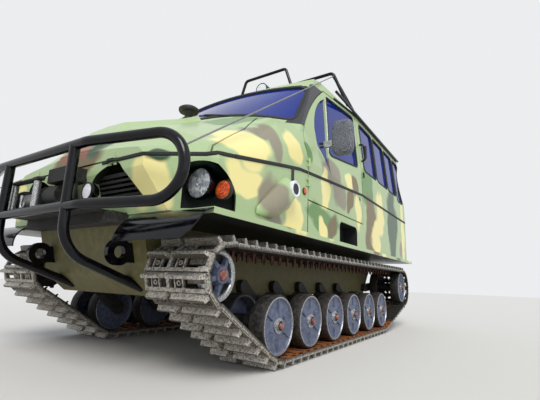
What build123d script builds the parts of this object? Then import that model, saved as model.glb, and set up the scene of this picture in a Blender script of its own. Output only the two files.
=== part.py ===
"""Tracked all-terrain vehicle with a boat-shaped hull and a van body.

Millimetres. +Z is up and the ground is z = 0. The front looks along -Y, the vehicle's
left side is +X, and the origin lies under the middle of the overall length and width.
"""
from build123d import *
from math import asin, atan2, cos, pi, sin
import os

os.makedirs("parts", exist_ok=True)

# Clearances
SEAT_GAP = 0.3  # between a fitted piece and its seat
SHUT_GAP = 11  # round a door or the hood
BIG = 3000  # longer than any cut has to reach
SIDE_REACH = 250  # how far a cut through a side wall reaches each way

# Body, seen from above and from the side
WALL = 45  # whole thickness of a body wall, its lining included
BODY_HALF = 1050  # half width at the side walls
DECK_BOTTOM = 811
DECK_TOP = 842
FLANGE_HALF = BODY_HALF + 65
FLANGE_FRONT = -1929
BODY_REAR = 2181
NOSE_FRONT = -2015
DOOR_PILLAR_Y = 352  # rear edge of the front doors
CAB_FLARE_Y = 350  # behind this the side walls run straight
BELT_Z = 1650
GUTTER_Z = 2290
ROOF_TOP = 2420

# Height of the black joint strip, which parts the lower body from the upper shell
SEAM = [(-2300, 1150), (-1858, 1140), (-991, 1293), (334, 1394), (2300, 1385)]

HOOD_REAR = (BODY_HALF - 310, -985, -1225)  # corner x, corner y, centre y
HOOD_FRONT = (BODY_HALF - 60, -1850)
HOOD_OPEN_Y = NOSE_FRONT - 185  # the hood's outline is carried on to here, in front of the nose
# Raised middle of the hood: y, half width at its foot, half width on top, height
HOOD_BULGE = [
    (-2010, 215, 175, 1262),
    (-1826, 235, 190, 1508),
    (-1422, 270, 225, 1690),
    (-1230, 290, 250, 1788),
]
HOOD_BULGE_FOOT = 1100
DOOR_FRONT = -862
DOOR_BOTTOM = 1098
DOOR_TOP = 2275
GLASS_INSET = 14  # from the outer face to the glass
GLASS_THICK = 8
PANE_CORNER = 45
# Windshield seen from the front: lower and upper corner, rise of the bottom and top edge
PANE_LOW, PANE_HIGH, PANE_BOW = (BODY_HALF - 128, 1738), (BODY_HALF - 176, 2238), (80, 34)
# Side panes behind the door: front y, back y, bottom, top
SIDE_PANES = [
    (455, 880, 1690, 2225),
    (925, 1340, 1690, 2225),
    (1385, 1755, 1690, 2225),
    (1810, 2095, 1640, 2225),
]

# Nose and hood cross-sections: y, side half width, shoulder start height, shoulder half width,
# shoulder height, crown height, bulge of the shoulder as a share of its run
NOSE_SECTIONS = [
    (NOSE_FRONT, BODY_HALF - 370, 1120, BODY_HALF - 430, 1190, 1235, 0.12),
    (-1826, BODY_HALF - 20, 1120, BODY_HALF - 120, 1230, 1472, 0.12),
    (-1422, BODY_HALF - 8, 1205, BODY_HALF - 145, 1450, 1645, 0.12),
    (-1173, BODY_HALF, 1290, BODY_HALF - 140, 1640, 1768, 0.1),
    (-780, BODY_HALF, 1400, BODY_HALF - 88, 1700, 1796, 0.05),
]
NOSE_FOOT = -1940  # foot of the leaning nose panel, at the deck
NOSE_KNEE_Z = 1080
SHOULDER_Z = 1400  # the side walls are upright up to here

# Cabin outlines from above: height, front corner half width, front corner y, front centre y,
# side half width
CAB_OUTLINES = [
    (SHOULDER_Z, BODY_HALF, -818, -1300, BODY_HALF),
    (BELT_Z, BODY_HALF - 75, -870, -1300, BODY_HALF - 5),
    (GUTTER_Z, BODY_HALF - 165, -470, -600, BODY_HALF - 70),
]
ROOF_EDGE = (BODY_HALF - 68, 132)  # outer edge of the roof: x, drop from the top
ROOF_KNEE = (BODY_HALF - 155, 62)
CAB_TOP = 2460  # the cabin outline is carried on to here, and the roof form then trims it

# Running gear
TRACK_HALF = 225
TRACK_X = 824
TRACK_DEPTH = 63  # from a shoe's inner face to its lug tip
LUG_HEIGHT = 30
SHOE_PITCH = 105
WHEEL_COUNT = 6
WHEEL_PITCH = 438
WHEEL_FIRST_Y = -1150
WHEEL_RADIUS = 184
SPROCKET_Y, SPROCKET_Z, SPROCKET_RADIUS = -1700, 535, 140
IDLER_Y, IDLER_Z, IDLER_RADIUS = 1975, 490, 197
WHEEL_Z = TRACK_DEPTH + WHEEL_RADIUS
WHEEL_FACE = 187  # from the track's middle to the outer face of a wheel rim
RIM_WIDTH = 105
AXLE_RADIUS = 30
HUB_RADIUS = 62
# One shoe of the track's outline: share of the pitch, height above the plate
LUG_SHAPE = [(0.04, 0), (0.16, LUG_HEIGHT), (0.72, LUG_HEIGHT), (0.84, 0)]
SPROCKET_RING_X = 110  # ring planes each side of the track's middle
SPROCKET_RING = 30
SPROCKET_TOOTH = 22
SPROCKET_TEETH = 10
SPROCKET_DRUM = 88
ARM_REACH = 270
ARM_PIVOT_Z = 470
ARM_OUT = 12
ARM_THICK = 36
ARM_EYE = 48
HULL_HALF = 560
HULL_WALL = 14
HULL_FLOOR = 400
# Side view of the hull between the tracks: y, z
HULL_PROFILE = [(-1880, 811), (-1800, 520), (-1650, 400), (1750, 400), (2120, 811)]

# Engine under the hood
ENGINE_HALF = 330
ENGINE_Y = (-1600, -950)
ENGINE_TOP = 1120
ENGINE_WELL_X = (-480, 480)
ENGINE_WELL_Y = (-1780, -900)

# Front guard tubes
GUARD_TUBE = 27
GUARD_FRONT = -2208
GUARD_HIGH = 1178
GUARD_LOW = 850
GUARD_KINK = 480
GUARD_POST_X = 367
GUARD_END_X = 1051
GUARD_END_Y = -2075
GUARD_BEND = (GUARD_HIGH - GUARD_LOW) / 2 - 2  # the loop's ends are all but half circles
GUARD_STRUT_BEND = 200
GUARD_STRUT_LOW = 628
GUARD_FOOT = (-1690, 448)

# Roof guard tubes and rails
ROOF_TUBE = 17
HOOP_Y = 50
HOOP_FOOT = 358
HOOP_HALF = 280
HOOP_TOP = 2905
WING_Z = 2670
WING_HALF = 860
RAIL_TUBE = 13
RAIL_X = 1000
RAIL_Z = 2296
RAIL_FRONT = -200

# Lamps: node, middle of the lens, radius, rim depth, bucket radius, bucket depth, stem direction in x, y
LAMPS = [
    ("headlamps", (880, -1805, 1010), 89, 38, 66, 60, (0, 1)),
    ("signal_lamps", (1008, -1755, 971), 54, 25, 40, 15, (-0.7, 0.7)),
]

# Nose fittings
LINER = 6
LAMP_STEM = 16
# Fender lip: side view from the flange down and forwards, then its front view (x from the flange's corner)
LIP_SIDE = [(FLANGE_FRONT, DECK_TOP - 4), (-2008, 792), (-2048, 684)]
LIP_THICK = 8
LIP_INNER = (524, 573)  # inner end, from the flange's corner, at the top and the bottom
LIP_ROUND = 120  # the outer end is rounded up to the flange
GRILLE_THICK = 12
# Nose opening seen from the front: foot of its inner edge, top of the arch, its crown, outer foot
NOSE_OPENING = [(212, 912), (215, 1040), (330, 1105), (465, 1128), (487, 1112), (665, 912)]
GRILLE_X, GRILLE_UP = 440, 138
GRILLE_WIDE, GRILLE_TALL = 480, 226
WINCH_X, WINCH_Y, WINCH_Z = -253, -2065, 965
# Winch along x from its middle: start, length, radius of the motor, drum, flanges and gearbox
WINCH_BARRELS = [(-330, 160, 58), (-170, 15, 72), (-155, 310, 36), (155, 15, 72), (170, 150, 66)]
WINCH_SHELF = (860, 850)  # top and underside heights
WINCH_BEAM = ((-430, 500), (-2030, -1935), 790)  # channel under the shelf: x limits, y limits, underside
WINCH_BOX = ((-60, 170), (1040, 1125))  # relay box above the gearbox: x limits, z limits
FAIRLEAD_HALF, FAIRLEAD_ROLLER = 143, 19
WORK_LAMP_X, WORK_LAMP_Y, WORK_LAMP_Z = 385, -2120, 945
WORK_LAMP_RADIUS = 50
TOW_EYE_X, TOW_EYE_Y, TOW_EYE_Z = 430, -1922, 642
TOW_EYE_BORE = 34
TOW_EYE_RIM = 40  # width of the eye's ring
TOW_EYE_THICK = 32
TOW_EYE_SHANK = 170  # from the eye into the hull's front plate
HITCH_Z = 620
HITCH_PLATE_Y = 2105
HITCH_BORE = 15.5
HITCH_PIN_Y = BODY_REAR + HITCH_BORE + 2  # the pin drops in just behind the body
HITCH_JAW = 70
HITCH_NOSE = 35  # from the pin to the jaw's end
SEARCH_Z = 2690
# Step niche in each side below the front door
NICHE_Y = (-265, 172)
NICHE_TOP = 1037
NICHE_ROUND = 55
NICHE_DEEP = 140
# Heater outlet pod: y, half height, reach from the wall, z of its middle
POD_SECTIONS = [(-1500, 20, 4, 905), (-1350, 90, 50, 970), (-1210, 115, 75, 1060), (-1140, 75, 62, 1095)]

# Door fittings and cabin
MIRROR_X, MIRROR_Y, MIRROR_Z = BODY_HALF + 185, -640, 1625
MIRROR_WIDE, MIRROR_DEEP, MIRROR_TALL = 170, 80, 285
MIRROR_ROUND = 34
MIRROR_ARM = (-50, -18)  # heights of the two arm tubes from the head's middle
HANDLE_X, HANDLE_Y, HANDLE_Z = 1075, 398, (1775, 1960)
MARKER_Y, MARKER_Z = -923, 1147
REAR_LAMP_X, REAR_LAMP_Z, REAR_LAMP_DEEP = 940, 1050, 35
STAY_TURN = 0.5236  # angle of the stay's foot round the guard's end, up from level
STAY_FOOT = (GUARD_END_X - GUARD_BEND * (1 - cos(STAY_TURN)), GUARD_END_Y - 6,
             (GUARD_HIGH + GUARD_LOW) / 2 + GUARD_BEND * sin(STAY_TURN))
STAY_HEAD = (872, 56, 2638)
SEAT_X, SEAT_Y, SEAT_Z = 480, -80, 1240
SEAT_CUSHION, SEAT_BACK = (500, 480, 120), (480, 110, 560)
BENCH_Y, BENCH_Z = (620, 1980), 1180
DASH_Y, DASH_Z = (-1000, -720), (1300, 1560)
DASH_HALF = 880
STEERING_RADIUS, STEERING_RIM = 209, 28
DASH_CLEAR = 25  # from the dashboard's end brackets to the front doors
INTAKE = (185, -1275)
INTAKE_CAP_Z = 1815
INTAKE_CAP = 80
INTAKE_DOME = 30
INTAKE_NECK = 150
REAR_PANE = (500, 460)
REAR_PANE_Z = 1880
HINGE_RADIUS = 9
HINGE_PIN = 5
HINGE_LONG = 66
LEAF_LONG = 38
LEAF_THICK = 5
DOOR_HINGE_OFF = 75  # of each door hinge from the joint strip, one below it and one above
HOOD_HINGE_X = (-420, 420)
HOOD_HINGE_Z = 1151
REAR_HINGE_Z = (1050, 1950)
DOOR_HINGE_X = BODY_HALF + HINGE_RADIUS

# Body openings
PILLAR_SPLIT_Y = 0  # the front pillars' panel meets the side panels over the door
REAR_DOOR_X = (-340, 340)
REAR_DOOR_Z = (900, 2170)
REAR_HINGE_AXIS = (REAR_DOOR_X[0], BODY_REAR + HINGE_RADIUS)
LAMP_CORNER = (BODY_HALF - 65, -1800)
LAMP_DEPTH = 210


def seam_region(side, lift=0.0):
    """Everything above (side 1) or below (side -1) the joint strip, as one wide prism."""
    line = [(y, z + lift) for y, z in SEAM]
    with BuildPart() as region:
        with BuildSketch(Plane.YZ):
            with BuildLine():
                Polyline(*line, (line[-1][0], side * BIG), (line[0][0], side * BIG), close=True)
            make_face()
        extrude(amount=BIG, both=True)
    return region.part


def seam_height(y):
    """Height of the joint strip at y."""
    for (y0, z0), (y1, z1) in zip(SEAM, SEAM[1:]):
        if y0 <= y <= y1:
            return z0 + (y - y0) * (z1 - z0) / (y1 - y0)
    return SEAM[-1][1]


def cab_outline(z, inset):
    """Front corner, front centre and side of the cabin at a height, drawn inwards by inset."""
    low, high = CAB_OUTLINES[:2] if z <= BELT_Z else CAB_OUTLINES[1:]
    share = (z - low[0]) / (high[0] - low[0])
    corner_x, corner_y, centre_y, side_x = (a + share * (b - a) for a, b in zip(low[1:], high[1:]))
    return corner_x - inset, corner_y + inset, centre_y + inset, side_x - inset


def body_form(inset):
    """The whole body above the deck, with every outer face drawn inwards by inset."""
    with BuildPart() as form:
        for y, half, start_z, shoulder, shoulder_z, crown_z, bulge in NOSE_SECTIONS:
            y_in = y + inset if y == NOSE_FRONT else y
            with BuildSketch(Plane.XZ.offset(-y_in)):
                with BuildLine():
                    half_in, top_in = half - inset, shoulder_z - inset
                    over = shoulder - inset
                    Polyline((-half_in, start_z), (-half_in, DECK_TOP), (half_in, DECK_TOP),
                             (half_in, start_z))
                    bulge_x = (half_in + over) / 2 + bulge * (top_in - start_z)
                    bulge_z = (start_z + top_in) / 2 + bulge * (half_in - over)
                    ThreePointArc((half_in, start_z), (bulge_x, bulge_z), (over, top_in))
                    ThreePointArc((over, top_in), (0, crown_z - inset), (-over, top_in))
                    ThreePointArc((-over, top_in), (-bulge_x, bulge_z), (-half_in, start_z))
                make_face()
        loft(ruled=True)
        with BuildSketch(Plane.XY.offset(DECK_TOP)):
            with Locations((0, (BODY_REAR - inset - 800) / 2)):
                Rectangle(2 * (BODY_HALF - inset), BODY_REAR - inset + 800)
        extrude(amount=SHOULDER_Z - DECK_TOP)
        for z in (SHOULDER_Z, BELT_Z, CAB_TOP):
            corner_x, corner_y, centre_y, side_x = cab_outline(z, inset)
            with BuildSketch(Plane.XY.offset(z)):
                with BuildLine():
                    ThreePointArc((corner_x, corner_y), (0, centre_y), (-corner_x, corner_y))
                    Polyline((-corner_x, corner_y), (-side_x, CAB_FLARE_Y), (-side_x, BODY_REAR - inset),
                             (side_x, BODY_REAR - inset), (side_x, CAB_FLARE_Y), (corner_x, corner_y))
                make_face()
        loft(ruled=True)
        top = ROOF_TOP - inset
        with BuildSketch(Plane.XZ.offset(BIG)):
            with BuildLine():
                knee_x, knee_z = ROOF_KNEE[0] - inset, top - ROOF_KNEE[1]
                edge_x, edge_z = ROOF_EDGE[0] - inset, top - ROOF_EDGE[1]
                foot_x = BODY_HALF + 90
                Polyline((-knee_x, knee_z), (-edge_x, edge_z), (-foot_x, DECK_TOP), (foot_x, DECK_TOP),
                         (edge_x, edge_z), (knee_x, knee_z))
                ThreePointArc((knee_x, knee_z), (0, top), (-knee_x, knee_z))
            make_face()
        extrude(amount=-2 * BIG, mode=Mode.INTERSECT)
        with BuildSketch(Plane.YZ):
            with BuildLine():
                Polyline((NOSE_FOOT + inset, DECK_TOP), (NOSE_FRONT + inset, NOSE_KNEE_Z),
                         (-BIG, NOSE_KNEE_Z), (-BIG, top - 138), (-640, top - 138))
                ThreePointArc((-640, top - 138), (-150, top - 25), (400, top))
                Polyline((400, top), (1300, top), (BODY_REAR + 20, top - 70), (BODY_REAR + 20, DECK_TOP),
                         (NOSE_FOOT + inset, DECK_TOP))
            make_face()
        extrude(amount=BIG, both=True, mode=Mode.INTERSECT)
    return form.part


def side_prism(outline, side, grow=0.0):
    """A side-view outline as a prism through one side of the body."""
    with BuildPart() as prism:
        with BuildSketch(Plane.YZ.offset(side * (BODY_HALF - SIDE_REACH))):
            add(outline())
            if grow:
                offset(amount=grow)
        extrude(amount=side * 2 * SIDE_REACH)
    return prism.part


def door_outline():
    """Front door: level foot, upright rear edge and a front edge that follows the sloping pillar."""
    with BuildSketch() as sketch:
        with BuildLine():
            Polyline((DOOR_FRONT, 1560), (DOOR_FRONT, DOOR_BOTTOM), (DOOR_PILLAR_Y, DOOR_BOTTOM),
                     (DOOR_PILLAR_Y, DOOR_TOP), (-300, DOOR_TOP))
            ThreePointArc((-300, DOOR_TOP), (-620, 1955), (DOOR_FRONT, 1560))
        make_face()
    return sketch.sketch


def quarter_window():
    """Fixed front glass of the door, which drops to a point below the belt."""
    with BuildSketch() as sketch:
        with BuildLine():
            ThreePointArc((-310, 2185), (-505, 2010), (-605, 1770))
            Line((-605, 1770), (-600, 1613))
            ThreePointArc((-600, 1613), (-525, 1535), (-445, 1395))
            Polyline((-445, 1395), (-430, 1560), (-310, 2185))
        make_face()
    return sketch.sketch


def main_window():
    """Drop glass of the door."""
    with BuildSketch() as sketch:
        with BuildLine():
            Polyline((-385, 1600), (245, 1672), (275, 2225), (-265, 2225), close=True)
        make_face()
        fillet(sketch.vertices(), 30)
    return sketch.sketch


def rear_windows():
    """The row of fixed panes behind the door."""
    with BuildSketch() as sketch:
        for y_front, y_back, z_low, z_high in SIDE_PANES:
            with Locations(((y_front + y_back) / 2, (z_low + z_high) / 2)):
                RectangleRounded(y_back - y_front, z_high - z_low, PANE_CORNER)
    return sketch.sketch


def niche_outline():
    """Step niche: level foot on the deck and a rounded head."""
    front_y, rear_y = NICHE_Y
    bend_z = NICHE_TOP - NICHE_ROUND
    with BuildSketch() as sketch:
        with BuildLine():
            Line((front_y, DECK_TOP), (front_y, bend_z))
            RadiusArc((front_y, bend_z), (front_y + NICHE_ROUND, NICHE_TOP), NICHE_ROUND)
            Line((front_y + NICHE_ROUND, NICHE_TOP), (rear_y - NICHE_ROUND, NICHE_TOP))
            RadiusArc((rear_y - NICHE_ROUND, NICHE_TOP), (rear_y, bend_z), NICHE_ROUND)
            Polyline((rear_y, bend_z), (rear_y, DECK_TOP), (front_y, DECK_TOP))
        make_face()
    return sketch.sketch


def windshield_prism(grow=0.0):
    """The windshield's outline seen from the front, as a prism through the cabin's front."""
    with BuildPart() as prism:
        with BuildSketch(Plane.XZ.offset(1700)) as windshield_face:
            with BuildLine():
                (low_x, low_z), (high_x, high_z) = PANE_LOW, PANE_HIGH
                ThreePointArc((-low_x, low_z), (0, low_z + PANE_BOW[0]), (low_x, low_z))
                Line((low_x, low_z), (high_x, high_z))
                ThreePointArc((high_x, high_z), (0, high_z + PANE_BOW[1]), (-high_x, high_z))
                Line((-high_x, high_z), (-low_x, low_z))
            make_face()
            fillet(windshield_face.vertices(), 60)
            if grow:
                offset(amount=grow)
        extrude(amount=-1350)
    return prism.part


def hood_prism(grow=0.0):
    """The hood's outline seen from above, as a tall prism, its rear and side edges moved out by grow."""
    rear_x, rear_y, rear_centre_y = HOOD_REAR
    front_x, front_y = HOOD_FRONT
    with BuildPart() as prism:
        with BuildSketch(Plane.XY.offset(1000)):
            with BuildLine():
                ThreePointArc((rear_x + grow, rear_y + grow), (0, rear_centre_y + grow),
                              (-rear_x - grow, rear_y + grow))
                Polyline((-rear_x - grow, rear_y + grow), (-front_x - grow, front_y),
                         (-front_x - grow, HOOD_OPEN_Y), (front_x + grow, HOOD_OPEN_Y),
                         (front_x + grow, front_y), (rear_x + grow, rear_y + grow))
            make_face()
        extrude(amount=1300)
    return prism.part


def box_between(x, y, z):
    """A box given by its limits along each axis."""
    with BuildPart() as block:
        with Locations(((x[0] + x[1]) / 2, (y[0] + y[1]) / 2, (z[0] + z[1]) / 2)):
            Box(x[1] - x[0], y[1] - y[0], z[1] - z[0])
    return block.part


def save(piece, name):
    """Label a finished piece and write its file."""
    piece.label = name
    export_step(piece, f"parts/{name}.step")


def tube(points, bend, radius):
    """A round tube along straight runs joined by bends."""
    with BuildPart() as run:
        with BuildLine() as route:
            if len(points) > 2:
                FilletPolyline(*points, radius=bend)
            else:
                Line(*points)
        with BuildSketch(Plane(origin=route.line @ 0, z_dir=route.line % 0)):
            Circle(radius)
        sweep(path=route.line)
    return run.part


def rod(start, end, radius):
    """A straight round bar between two points."""
    start, end = Vector(*start), Vector(*end)
    with BuildPart() as bar:
        with BuildSketch(Plane(origin=start, z_dir=end - start)):
            Circle(radius)
        extrude(amount=(end - start).length)
    return bar.part


def hinge_half(axis, z, leaf_way, middle):
    """One half of an upright hinge at a height: the middle knuckle, or the end knuckles with the pin.

    axis is the pin's x, y and leaf_way points from the pin along the leaf.
    """
    x, y = axis
    third = HINGE_LONG / 3
    face_y = leaf_way[1] != 0
    with BuildPart() as half:
        for level in (0,) if middle else (-1, 1):
            low = z + level * third - third / 2 + SEAT_GAP / 2
            add(rod((x, y, low), (x, y, low + third - SEAT_GAP), HINGE_RADIUS))
            reach = [x + leaf_way[0] * LEAF_LONG, y + leaf_way[1] * LEAF_LONG]
            wall_x = (min(x, reach[0]), max(x, reach[0]))
            wall_y = (min(y, reach[1]), max(y, reach[1]))
            if face_y:
                outward = 1 if x > 0 else -1
                leaf_face = x - outward * (HINGE_RADIUS - LEAF_THICK)
                wall_x = tuple(sorted((x - outward * HINGE_RADIUS, leaf_face)))
            else:
                wall_y = (y - HINGE_RADIUS, y - HINGE_RADIUS + LEAF_THICK)
            add(box_between(wall_x, wall_y, (low, low + third - SEAT_GAP)))
        if middle:
            bore = rod((x, y, z - HINGE_LONG), (x, y, z + HINGE_LONG), HINGE_PIN + SEAT_GAP)
            add(bore, mode=Mode.SUBTRACT)
        else:
            add(rod((x, y, z - HINGE_LONG / 2), (x, y, z + HINGE_LONG / 2), HINGE_PIN))
    return half.part


def hood_hinge_half(x, middle):
    """One half of a hood hinge, lying along x in front of the nose at the joint strip."""
    y, z = NOSE_FRONT - HINGE_RADIUS, HOOD_HINGE_Z
    third = HINGE_LONG / 3
    way = 1 if middle else -1
    with BuildPart() as half:
        for level in (0,) if middle else (-1, 1):
            low = x + level * third - third / 2 + SEAT_GAP / 2
            high = low + third - SEAT_GAP
            add(rod((low, y, z), (high, y, z), HINGE_RADIUS))
            leaf_z = sorted((z, z + way * LEAF_LONG))
            add(box_between((low, high), (NOSE_FRONT - LEAF_THICK, NOSE_FRONT), leaf_z))
        if middle:
            bore = rod((x - HINGE_LONG, y, z), (x + HINGE_LONG, y, z), HINGE_PIN + SEAT_GAP)
            add(bore, mode=Mode.SUBTRACT)
        else:
            add(rod((x - HINGE_LONG / 2, y, z), (x + HINGE_LONG / 2, y, z), HINGE_PIN))
    return half.part


def lamp_plane(side):
    """Upright plane across a front corner, looking outwards and forwards."""
    x, y = LAMP_CORNER
    return Plane(origin=(side * x, y, 0), x_dir=(1, side, 0), z_dir=(side, -1, 0))


def lamp_outline(side, grow):
    """Arched opening of a lamp recess, drawn on its upright plane and moved out by grow."""
    low = DECK_TOP + 12 - grow
    with BuildSketch() as sketch:
        with BuildLine():
            Polyline((-158 - grow, 1085 + grow), (-158 - grow, low), (124 + grow, low), (124 + grow, 950))
            ThreePointArc((124 + grow, 950), (55 + 0.7 * grow, 1062 + 0.7 * grow),
                          (-158 - grow, 1085 + grow))
        make_face()
        if side < 0:
            mirror(about=Plane.YZ, mode=Mode.REPLACE)
    return sketch.sketch


door_hinge_low = seam_height(DOOR_FRONT) - DOOR_HINGE_OFF
door_hinge_high = seam_height(DOOR_FRONT) + DOOR_HINGE_OFF

body_outer = body_form(0)
body_inner = body_form(WALL)
above_seam = seam_region(1)
below_seam = seam_region(-1)
with BuildPart() as wall_skin:
    add(body_outer)
    add(body_inner, mode=Mode.SUBTRACT)
with BuildPart() as glass_skin:
    add(body_form(GLASS_INSET))
    add(body_form(GLASS_INSET + GLASS_THICK), mode=Mode.SUBTRACT)

# Body shell
with BuildPart() as hood_opening:
    add(hood_prism(SHUT_GAP / 2))
    add(above_seam, mode=Mode.INTERSECT)
with BuildPart() as shell:
    add(wall_skin.part)
    for side in (1, -1):
        add(side_prism(door_outline, side, SHUT_GAP / 2), mode=Mode.SUBTRACT)
        add(side_prism(rear_windows, side), mode=Mode.SUBTRACT)
    add(windshield_prism(), mode=Mode.SUBTRACT)
    add(box_between(REAR_DOOR_X, (BODY_REAR - 2 * WALL, BODY_REAR + WALL), REAR_DOOR_Z), mode=Mode.SUBTRACT)
    add(hood_opening.part, mode=Mode.SUBTRACT)

# Lower body: side walls and nose up to the joint strip
with BuildPart() as body_lower:
    add(shell.part)
    add(below_seam, mode=Mode.INTERSECT)
    for side in (1, -1):
        with BuildSketch(lamp_plane(side).offset(-LAMP_DEPTH)):
            add(lamp_outline(side, 0))
        extrude(amount=2 * LAMP_DEPTH, mode=Mode.SUBTRACT)
        with BuildSketch(Plane.XZ.offset(-NOSE_FRONT - 200)):
            with BuildLine():
                inner_foot, inner_top, arch, crown, knee, outer_foot = (
                    (side * x, z) for x, z in NOSE_OPENING)
                ThreePointArc(inner_top, arch, crown)
                Polyline(crown, knee, outer_foot, inner_foot, inner_top)
            make_face()
        extrude(amount=400, mode=Mode.SUBTRACT)
        add(side_prism(niche_outline, side), mode=Mode.SUBTRACT)
        add(hinge_half((side * DOOR_HINGE_X, DOOR_FRONT), door_hinge_low, (0, -1, 0), False))
    for z in REAR_HINGE_Z:
        if z < SHOULDER_Z:
            add(hinge_half(REAR_HINGE_AXIS, z, (-1, 0, 0), False))
    for x in HOOD_HINGE_X:
        add(hood_hinge_half(x, False))
save(body_lower.part, "body_lower")

with BuildPart() as upper:
    add(shell.part)
    add(above_seam, mode=Mode.INTERSECT)

# Roof panel above the gutter line
with BuildPart() as roof:
    add(upper.part)
    add(box_between((-BIG, BIG), (-BIG, BIG), (GUTTER_Z, BIG)), mode=Mode.INTERSECT)
save(roof.part, "roof")

# Cowl, fender tops and front pillars
with BuildPart() as front_cowl:
    add(upper.part)
    add(box_between((-BIG, BIG), (-BIG, PILLAR_SPLIT_Y), (0, GUTTER_Z)), mode=Mode.INTERSECT)
    for side in (1, -1):
        add(hinge_half((side * DOOR_HINGE_X, DOOR_FRONT), door_hinge_high, (0, -1, 0), False))
save(front_cowl.part, "front_cowl")

# Side panels with the fixed panes' openings
for side, name in ((1, "side_panel_left"), (-1, "side_panel_right")):
    with BuildPart() as side_panel:
        add(upper.part)
        limits_x = (0, BIG) if side > 0 else (-BIG, 0)
        add(box_between(limits_x, (PILLAR_SPLIT_Y, BODY_REAR - WALL), (0, GUTTER_Z)), mode=Mode.INTERSECT)
    save(side_panel.part, name)

# Rear wall round the rear door
with BuildPart() as rear_wall:
    add(upper.part)
    add(box_between((-BIG, BIG), (BODY_REAR - WALL, BIG), (0, GUTTER_Z)), mode=Mode.INTERSECT)
    for z in REAR_HINGE_Z:
        if z >= SHOULDER_Z:
            add(hinge_half(REAR_HINGE_AXIS, z, (-1, 0, 0), False))
save(rear_wall.part, "rear_wall")

# Deck plate with the outer flange, open above the engine
with BuildPart() as deck:
    add(box_between((-FLANGE_HALF, FLANGE_HALF), (FLANGE_FRONT, BODY_REAR), (DECK_BOTTOM, DECK_TOP)))
    add(box_between(ENGINE_WELL_X, ENGINE_WELL_Y, (0, BIG)), mode=Mode.SUBTRACT)
save(deck.part, "deck")

with BuildPart() as hull_form:
    with BuildSketch(Plane.YZ):
        with BuildLine():
            Polyline(*HULL_PROFILE, close=True)
        make_face()
    extrude(amount=HULL_HALF, both=True)
hull_block = hull_form.part

# Boat-shaped hull between the tracks, its top open at the engine well
with BuildPart() as hull_tub:
    for inset, mode in ((0, Mode.ADD), (HULL_WALL, Mode.SUBTRACT)):
        with BuildSketch(Plane.YZ):
            with BuildLine():
                Polyline(*HULL_PROFILE, close=True)
            make_face()
            if inset:
                offset(amount=-inset, kind=Kind.INTERSECTION)
        extrude(amount=HULL_HALF - inset, both=True, mode=mode)
    add(box_between(ENGINE_WELL_X, ENGINE_WELL_Y, (DECK_BOTTOM - 2 * HULL_WALL, BIG)), mode=Mode.SUBTRACT)
save(hull_tub.part, "hull_tub")

# Engine as one plain block on the hull floor
with BuildPart() as engine_block:
    add(box_between((-ENGINE_HALF, ENGINE_HALF), ENGINE_Y, (HULL_FLOOR + HULL_WALL, ENGINE_TOP)))
save(engine_block.part, "engine_block")

def side_pane(outline, side):
    """The glass of a side window, with its seat gap all round."""
    with BuildPart() as pane:
        add(glass_skin.part)
        add(side_prism(outline, side, -SEAT_GAP), mode=Mode.INTERSECT)
    return pane.part


# Windshield and fixed panes
with BuildPart() as windshield:
    add(glass_skin.part)
    add(windshield_prism(-SEAT_GAP), mode=Mode.INTERSECT)
save(windshield.part, "windshield")

with BuildPart() as side_windows:
    for side in (1, -1):
        add(side_pane(rear_windows, side))
save(side_windows.part, "side_windows")

# Front doors, whole wall thickness, with their glass
for side, name in ((1, "left"), (-1, "right")):
    with BuildPart() as door:
        add(wall_skin.part)
        add(side_prism(door_outline, side, -SHUT_GAP / 2), mode=Mode.INTERSECT)
        add(side_prism(quarter_window, side), mode=Mode.SUBTRACT)
        add(side_prism(main_window, side), mode=Mode.SUBTRACT)
        for z in (door_hinge_low, door_hinge_high):
            add(hinge_half((side * DOOR_HINGE_X, DOOR_FRONT), z, (0, 1, 0), True))
    save(door.part, f"door_{name}")
    with BuildPart() as door_glass:
        for window in (quarter_window, main_window):
            add(side_pane(window, side))
    save(door_glass.part, f"door_{name}_glass")

# Hood with its raised middle
with BuildPart() as hood_bulge:
    for y, foot_half, top_half, top_z in HOOD_BULGE:
        with BuildSketch(Plane.XZ.offset(-y)):
            with BuildLine():
                Polyline((-foot_half, HOOD_BULGE_FOOT), (-foot_half, top_z - 55), (-top_half, top_z - 8),
                         (0, top_z), (top_half, top_z - 8), (foot_half, top_z - 55),
                         (foot_half, HOOD_BULGE_FOOT), close=True)
            make_face()
    loft(ruled=True)
with BuildPart() as hood:
    add(body_outer)
    add(hood_bulge.part)
    add(hood_prism(-SHUT_GAP / 2), mode=Mode.INTERSECT)
    add(seam_region(1, SHUT_GAP), mode=Mode.INTERSECT)
    add(body_inner, mode=Mode.SUBTRACT)
    for x in HOOD_HINGE_X:
        add(hood_hinge_half(x, True))
save(hood.part, "hood")

# Tracks: one closed loop round sprocket, road wheels and idler
wheel_places = [(WHEEL_FIRST_Y + i * WHEEL_PITCH, WHEEL_Z, WHEEL_RADIUS) for i in range(WHEEL_COUNT)]
corner_rollers = [
    (SPROCKET_Y, SPROCKET_Z, SPROCKET_RADIUS),
    wheel_places[0],
    wheel_places[-1],
    (IDLER_Y, IDLER_Z, IDLER_RADIUS),
]


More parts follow.
